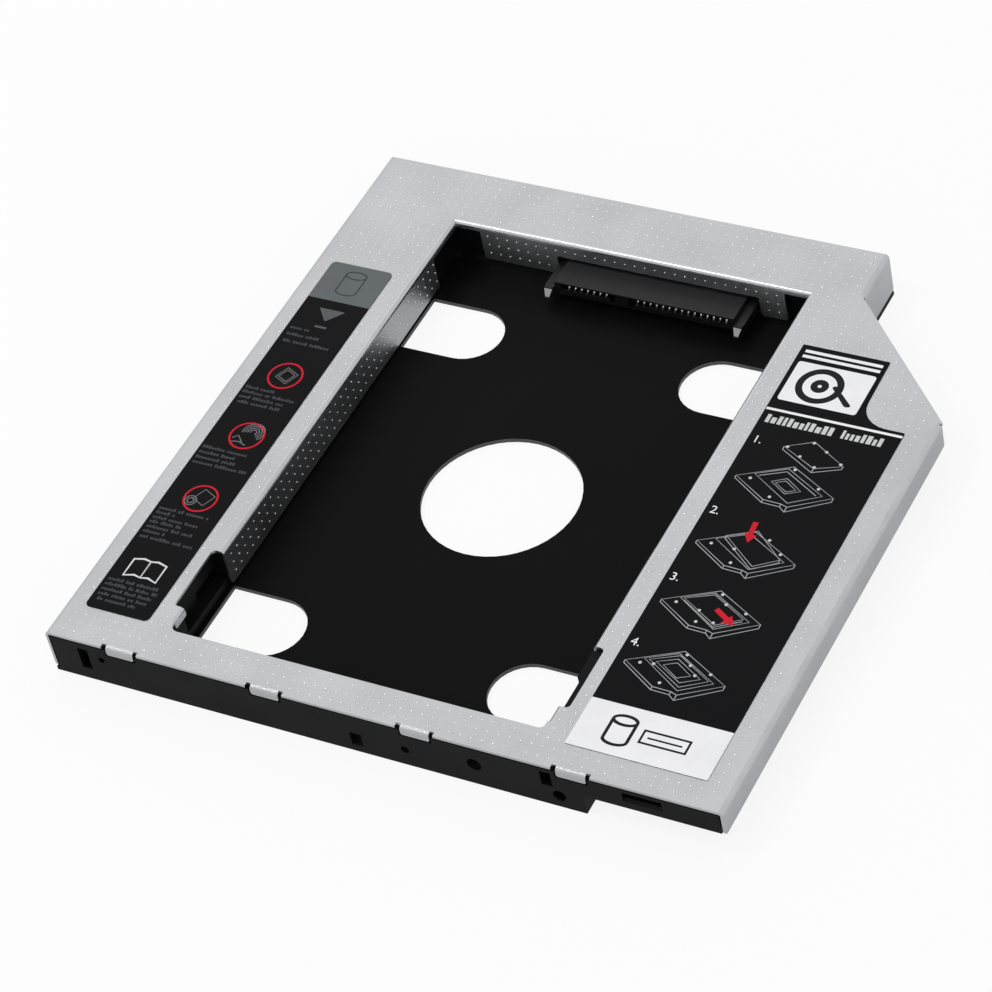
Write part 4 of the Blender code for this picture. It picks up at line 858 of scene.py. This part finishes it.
class CADDY_OT_cover(bpy.types.Operator):
    """Closes the cover's rear edge, slits and corners, softens its edges and embosses its pips"""

    bl_idname = "caddy.cover"
    bl_label = "Embossed cover"

    def execute(self, context):
        settings = context.scene.caddy_cover
        look = embossed_aluminium(settings.metal)
        bm = bmesh.new()
        for middle in REAR_TAB_MIDDLES:
            reach = REAR_STRIP_WIDTH / 2
            bar(bm, middle - reach, middle + reach, DEPTH - BEND - STRIP_SEAT, DEPTH, HEIGHT - SHEET, HEIGHT)
        for x, side in BACK_CORNERS:
            corner_web(bm, x, side)
        for left, front in SLITS:
            bar(bm, left, left + BEND, front, front + SLIT, HEIGHT - SHEET, HEIGHT)
        webs = meshed(bm, "sheet_webs")
        sheet = dressed("top_cover", "cover_sheet", look, settings.edge, change=(webs, "UNION"))
        sheet.data.materials.append(folded_aluminium(settings.metal))
        for face in sheet.data.polygons:
            folded = face.area < BROAD_FACE and FOLD_LEAN[0] < abs(face.normal.z) < FOLD_LEAN[1]
            face.material_index = int(folded and face.center.y > at(0.0, 2 * BEND).y)
        meshes = [frame["nodes"]["top_cover"].data]
        meshes += [bpy.data.objects[name].data for name in ("left_label_film", "right_label_film")]
        trees = [
            BVHTree.FromPolygons(
                [vert.co for vert in mesh.vertices], [face.vertices for face in mesh.polygons]
            )
            for mesh in meshes
        ]
        rng = Random(5)
        bm = bmesh.new()
        for spots, way, reach, sides in pip_sights(settings.pip_pitch / MM):
            lean = way.to_track_quat("Z", "Y").to_matrix().to_4x4()
            row = bmesh.new()
            for spot in spots:
                depth = struck(trees, spot, way, reach, sides, settings.pip_margin)
                if depth is not None:
                    wide = settings.pip_radius * rng.uniform(0.9, 1.1)
                    high = settings.pip_height * rng.uniform(0.7, 1.2)
                    spheroid(row, Matrix.Translation(spot + way * depth) @ lean, (wide, wide, high))
            made = meshed(row, "pip_row")
            bm.from_mesh(made)
            bpy.data.meshes.remove(made)
        if not bm.verts:
            raise RuntimeError("no flat sheet was found for the pips")
        piece("cover_pips", bm, rubbed_aluminium(settings.metal), smooth=True)
        return {"FINISHED"}


class CADDY_OT_frame(bpy.types.Operator):
    """Rounds the moulded frame's edges"""

    bl_idname = "caddy.frame"
    bl_label = "Moulded frame"

    def execute(self, context):
        settings = context.scene.caddy_plastic
        dressed("frame", "moulded_frame", moulded_abs(settings.frame), settings.edge)
        return {"FINISHED"}


# Black insulating tape over the joint of the plate and the frame's floor: (distance from the front, height).
TAPE_PATH = ((114.5, 1.06), (115.05, 1.06), (116.1, 1.37), (117.2, 1.37))
TAPE_OVERLAP = 0.3
TAPE_THICKNESS = 0.05
# Middles of the slots' round ends: across, each with its way, and along.
SLOT_ENDS = ((30.95, 1), (82.7, -1))
SLOT_ROWS = (19.65, 96.25)
SLOT_RADIUS = 6.75
# How much further than the solid's they reach towards the middle, and how far off their rims' vertices lie.
SLOT_REACH = 0.85
RIM_ROOM = 1.2
RIM_SLACK = 0.1
# A face whose normal's upward part is smaller than this belongs to a punched edge.
EDGE_LEAN = 0.3


class CADDY_OT_plate(bpy.types.Operator):
    """Lengthens the floor plate's slots, rounds its punched edges and tapes its joint with the frame"""

    bl_idname = "caddy.plate"
    bl_label = "Floor plate"

    def execute(self, context):
        settings = context.scene.caddy_plate
        plate = dressed("bottom_plate", "floor_plate", painted_steel(settings.paint), settings.edge)
        plate.data.materials.append(sheared_steel(settings.sheared))
        for face in plate.data.polygons:
            face.material_index = int(abs(face.normal.z) < EDGE_LEAN)
        for x, way in SLOT_ENDS:
            for y in SLOT_ROWS:
                for vert in plate.data.vertices:
                    spot = (vert.co - at(x, y)) / MM
                    if spot.x * way > -RIM_SLACK and spot.length < SLOT_RADIUS + RIM_ROOM:
                        vert.co.x += way * SLOT_REACH * MM
        left, right = WELL_LEFT - TAPE_OVERLAP, WELL_RIGHT + TAPE_OVERLAP
        bm = swept([at(left, y, z) for y, z in TAPE_PATH], ((right - left) * MM, 0.0, 0.0))
        thickened(bm, TAPE_THICKNESS)
        piece("joint_tape", bm, printed_film("black_insulating_film", settings.paint))
        return {"FINISHED"}


# The plate screws, in millimetres: the shank's radius, the head's depth and rim, the thread's pitch, start
# and depth, the taper of the end, and the depth of the cross recess.
SHANK, HEAD_DEPTH, HEAD_RIM = 1.0, 0.7, 0.05
THREAD_PITCH, THREAD_START, THREAD_DEPTH = 0.4, 0.3, 0.16
END_TAPER, RECESS_DEPTH = 0.2, 0.5
# A wing of the cross: its thickness as a share of its width, and how it narrows to its tip.
WING_SHARE, WING_TAPER = 0.24, (0.45, 0.6, 1.0)


def cross_recess(depth, width):
    """Tapered cutter of a cross recess, point up, standing through z = 0."""
    bm = bmesh.new()
    for turn in (0.0, pi / 2):
        flat = Matrix.Diagonal((width, width * WING_SHARE, 2 * depth, 1.0))
        made = bmesh.ops.create_cube(bm, size=1.0, matrix=flat)
        tops = [vert for vert in made["verts"] if vert.co.z > 0]
        bmesh.ops.scale(bm, verts=tops, vec=WING_TAPER)
        bmesh.ops.rotate(bm, verts=made["verts"], matrix=Matrix.Rotation(turn, 3, "Z"))
    return meshed(bm, "screw_recess")


class CADDY_OT_screws(bpy.types.Operator):
    """Makes the plate's countersunk screws with their cross recesses, and finishes the board's"""

    bl_idname = "caddy.screws"
    bl_label = "Screws"

    def execute(self, context):
        settings = context.scene.caddy_plate
        names = nodes_named("plate_screw_")
        low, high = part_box(names[0])
        head, length = (high.x - low.x) / 2 / MM, (high.z - low.z) / MM
        profile = [(0.0, 0.0), (head - HEAD_RIM, 0.0), (head, HEAD_RIM), (SHANK, HEAD_DEPTH)]
        for step in range(int((length - HEAD_DEPTH - THREAD_PITCH) / THREAD_PITCH)):
            z = HEAD_DEPTH + THREAD_START + step * THREAD_PITCH
            profile += [(SHANK - THREAD_DEPTH, z), (SHANK, z + THREAD_PITCH / 2)]
        profile += [(SHANK - END_TAPER, length), (0.0, length)]
        bm = bmesh.new()
        verts = [bm.verts.new(Vector((x, 0.0, z)) * MM) for x, z in profile]
        edges = [bm.edges.new(pair) for pair in zip(verts, verts[1:])]
        bmesh.ops.spin(
            bm, geom=verts + edges, cent=(0, 0, 0), axis=(0, 0, 1), angle=2 * pi, steps=32, use_merge=True
        )
        bmesh.ops.remove_doubles(bm, verts=bm.verts, dist=0.001 * MM)
        recess = cross_recess(RECESS_DEPTH * MM, settings.recess)
        one = combined(meshed(bm, "screw_blank"), recess, "DIFFERENCE")
        rng = Random(3)
        bm = bmesh.new()
        for name in names:
            low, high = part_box(name)
            copy = one.copy()
            turned = Matrix.Rotation(rng.uniform(0.0, pi / 2), 4, "Z")
            copy.transform(Matrix.Translation(((low.x + high.x) / 2, (low.y + high.y) / 2, low.z)) @ turned)
            bm.from_mesh(copy)
        mesh = meshed(bm, "plate_screws", smooth=True)
        mesh.set_sharp_from_angle(angle=radians(35))
        zinc = black_zinc(settings.screw)
        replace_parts(show("plate_screws", mesh, zinc), *names)
        dress(nodes_named("board_screw_"), zinc)
        return {"FINISHED"}


# A drive contact's middle line from its tail to its tip: (distance from the front, height) in millimetres.
LEAF_PATH = (
    (118.55, 2.8), (117.7, 2.8), (117.45, 3.0), (117.45, 4.1), (117.2, 4.25), (111.6, 4.25), (110.6, 4.7),
    (110.25, 4.82), (110.0, 4.72), (109.25, 3.92),
)
LEAF_WIDTH = 0.46
LEAF_THICKNESS = 0.16
# A leaf's and a cap's narrow end, as a share of its width.
NARROWED = (0.5, 1.0, 1.0)
# The guide posts, in millimetres: their width, where a nose lies behind and above the housing's low corner,
# its slope, the length and height of what is cut off above it, and the sizes of its cap.
POST_WIDTH = 1.9
NOSE_MIDDLE = (0.6, 1.0)
POST_SLOPE = radians(53.0)
POST_CUT = (4.0, 3.0)
POST_CAP = (1.6, 1.5, 0.1)


def sprung_leaf(middle):
    """One drive contact: a strip that follows its path, given its thickness and narrowed to its tip."""
    left = middle - LEAF_WIDTH / 2 * MM
    spots = [Vector((left, *at(0.0, y, z).yz)) for y, z in LEAF_PATH]
    bm = swept(spots, (LEAF_WIDTH * MM, 0.0, 0.0))
    tips = [vert for vert in bm.verts if vert.co.y < spots[-1].y + 0.01 * MM]
    bmesh.ops.scale(bm, verts=tips, vec=NARROWED, space=Matrix.Translation((-middle, 0.0, 0.0)))
    thickened(bm, LEAF_THICKNESS)
    return meshed(bm, "sprung_leaf")


class CADDY_OT_connectors(bpy.types.Operator):
    """Slopes the guide posts' noses, rounds both connectors' edges and shapes the drive contacts"""

    bl_idname = "caddy.connectors"
    bl_label = "Connectors"

    def execute(self, context):
        settings = context.scene.caddy_plastic
        plastic = connector_plastic(settings.connector)
        low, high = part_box("drive_socket")
        back, up = NOSE_MIDDLE
        slope = Matrix.Rotation(POST_SLOPE, 4, "X")
        posts = [
            Matrix.Translation((middle, low.y + back * MM, low.z + up * MM)) @ slope
            for middle in (low.x + POST_WIDTH / 2 * MM, high.x - POST_WIDTH / 2 * MM)
        ]
        bm = bmesh.new()
        length, tall = POST_CUT
        block = Matrix.Diagonal((POST_WIDTH * MM, length * MM, tall * MM, 1.0))
        for post in posts:
            above = post @ Matrix.Translation((0.0, 0.0, tall / 2 * MM))
            bmesh.ops.create_cube(bm, size=1.0, matrix=above @ block)
        dressed(
            "drive_socket", "drive_socket_body", plastic, settings.fine_edge,
            change=(meshed(bm, "post_slopes"), "DIFFERENCE"),
        )
        dressed("host_plug", "host_plug_body", plastic, settings.fine_edge)
        plating = gold_plating(settings.contact)
        dress(nodes_named("host_contact_"), plating)
        names = nodes_named("drive_contact_")
        bm = bmesh.new()
        for name in names:
            low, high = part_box(name)
            leaf = sprung_leaf((low.x + high.x) / 2)
            bm.from_mesh(leaf)
            bpy.data.meshes.remove(leaf)
        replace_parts(piece("drive_contacts", bm, plating, smooth=True), *names)
        bm = bmesh.new()
        flat = Matrix.Diagonal((*[side * MM for side in POST_CAP], 1.0))
        for post in posts:
            cap = bmesh.ops.create_cube(bm, size=1.0, matrix=post @ flat)["verts"]
            middle = post.translation
            feet = [vert for vert in cap if vert.co.z < middle.z]
            bmesh.ops.scale(bm, verts=feet, vec=NARROWED, space=Matrix.Translation(-middle))
        piece("guide_post_tips", bm, tinned_steel(linear("949597")))
        return {"FINISHED"}


# Solder, in millimetres: how far a contact's joint lies before its tail's end, the pitch of a chip's joints
# and how far they lie below the chip, and both kinds' radii.
TAIL_JOINT = 0.5
CHIP_PITCH, CHIP_DROP = 0.9, 0.1
TAIL_SOLDER, CHIP_SOLDER = Vector((0.42, 0.75, 0.3)) * MM, Vector((0.22, 0.35, 0.25)) * MM


class CADDY_OT_board(bpy.types.Operator):
    """Finishes the circuit board and its chips, and solders the contacts to it"""

    bl_idname = "caddy.board"
    bl_label = "Circuit board"

    def execute(self, context):
        settings = context.scene.caddy_plastic
        dress(["circuit_board"], glass_epoxy_board(settings.board))
        dress(nodes_named("board_chip_"), moulded_epoxy(linear("242426")))
        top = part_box("circuit_board")[1].z
        bm = bmesh.new()
        for name in nodes_named("drive_contact_"):
            low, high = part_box(name)
            joint = Matrix.Translation(((low.x + high.x) / 2, high.y - TAIL_JOINT * MM, top))
            spheroid(bm, joint, TAIL_SOLDER, 10, 6)
        for name in nodes_named("board_chip_"):
            low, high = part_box(name)
            count = max(2, round((high.x - low.x) / (CHIP_PITCH * MM)))
            for index in range(count):
                x = low.x + (high.x - low.x) * (index + 0.5) / count
                for y in (low.y, high.y):
                    spheroid(bm, Matrix.Translation((x, y, low.z - CHIP_DROP * MM)), CHIP_SOLDER)
        piece("board_solder", bm, bright_solder(linear("d5d6d8")), smooth=True)
        return {"FINISHED"}


# Camera that gives the photograph's view: its place in millimetres, and its right, up and back directions.
CAMERA_PLACE = (283.42, -402.24, 474.27)
CAMERA_RIGHT = (0.88003, 0.44374, -0.16925)
CAMERA_UP = (-0.20876, 0.68153, 0.70139)
CAMERA_BACK = (0.42659, -0.58191, 0.69239)
# The floor, which hangs just under the caddy's foot: half its side in metres, and the gap in millimetres.
FLOOR_HALF = 2.0
FLOOR_GAP = 0.05
# Lamps: name, share of the key's power, side in metres, place in metres.
LAMPS = (
    ("key_lamp", 1.0, 0.3, (-0.47, -0.28, 0.96)),
    ("soft_box", 0.5, 0.8, (-0.54, 0.74, 0.89)),
    ("fill_lamp", 0.35, 0.8, (1.0, -0.6, 0.7)),
)


def lamp(name, watts, side, place):
    """Square soft lamp that faces the caddy."""
    light = bpy.data.lights.new(name, "AREA")
    light.energy = watts
    light.size = side
    obj = placed(name, light)
    obj.location = place
    obj.rotation_euler = Vector(place).to_track_quat("Z", "Y").to_euler()


class CADDY_OT_stage(bpy.types.Operator):
    """Sets up the floor, the light and the camera"""

    bl_idname = "caddy.stage"
    bl_label = "Stage"

    def execute(self, context):
        settings = context.scene.caddy_studio
        bm = bmesh.new()
        ground = Matrix.Translation((0.0, 0.0, CORNER.z - FLOOR_GAP * MM))
        bmesh.ops.create_grid(bm, x_segments=1, y_segments=1, size=FLOOR_HALF, matrix=ground)
        mesh = bpy.data.meshes.new("paper_floor")
        bm.to_mesh(mesh)
        bm.free()
        mesh.materials.append(paper_floor(settings.floor))
        placed("paper_floor", mesh)
        for name, share, side, place in LAMPS:
            lamp(name, settings.key * share, side, place)
        world = bpy.data.worlds.new("white_studio")
        world.use_nodes = True
        tree = world.node_tree
        tree.nodes.clear()
        path = add(tree, "ShaderNodeLightPath")
        shown = add(tree, "ShaderNodeMath", {
            0: path.outputs["Is Camera Ray"], 1: mirrored_rays(tree, path),
        }, operation="MAXIMUM")
        strength = add(tree, "ShaderNodeMapRange", {
            "Value": shown.outputs[0], "To Min": settings.sky, "To Max": 1.0,
        })
        light = add(tree, "ShaderNodeBackground", {
            "Color": (1.0, 1.0, 1.0, 1.0), "Strength": strength.outputs["Result"],
        })
        add(tree, "ShaderNodeOutputWorld", {"Surface": light.outputs["Background"]})
        context.scene.world = world
        data = bpy.data.cameras.new("photo_camera")
        data.lens = settings.lens
        camera = placed("photo_camera", data)
        axes = Matrix((CAMERA_RIGHT, CAMERA_UP, CAMERA_BACK)).transposed()
        camera.matrix_world = Matrix.Translation(Vector(CAMERA_PLACE) * MM) @ axes.to_4x4()
        context.scene.camera = camera
        context.scene.view_settings.view_transform = "Standard"
        return {"FINISHED"}


STEPS = (
    CADDY_OT_left_label, CADDY_OT_right_label, CADDY_OT_cover, CADDY_OT_frame, CADDY_OT_plate,
    CADDY_OT_screws, CADDY_OT_connectors, CADDY_OT_board, CADDY_OT_stage,
)


class CADDY_PT_sidebar(bpy.types.Panel):
    """Lists the caddy's pieces and their settings"""

    bl_idname = "CADDY_PT_sidebar"
    bl_label = "Laptop drive caddy"
    bl_space_type = "VIEW_3D"
    bl_region_type = "UI"
    bl_category = "Caddy"

    def draw(self, context):
        for step in STEPS:
            self.layout.operator(step.bl_idname)
        for name, group in SETTINGS.items():
            box = self.layout.box()
            box.label(text=group.__doc__)
            for prop in group.__annotations__:
                box.prop(getattr(context.scene, name), prop)


def register():
    """Adds the settings, the operators and the panel to Blender."""
    for group in (*SETTINGS.values(), *STEPS, CADDY_PT_sidebar):
        bpy.utils.register_class(group)
    for name, group in SETTINGS.items():
        setattr(bpy.types.Scene, name, PointerProperty(type=group))


def unregister():
    """Takes them out again."""
    for name in SETTINGS:
        delattr(bpy.types.Scene, name)
    for group in reversed((*SETTINGS.values(), *STEPS, CADDY_PT_sidebar)):
        bpy.utils.unregister_class(group)


def main():
    """Makes every piece and the stage, and notes the size of the solids and of the finished caddy."""
    register()
    for step in STEPS:
        getattr(bpy.ops.caddy, step.bl_idname.partition(".")[2])()


if __name__ == "__main__":
    main()
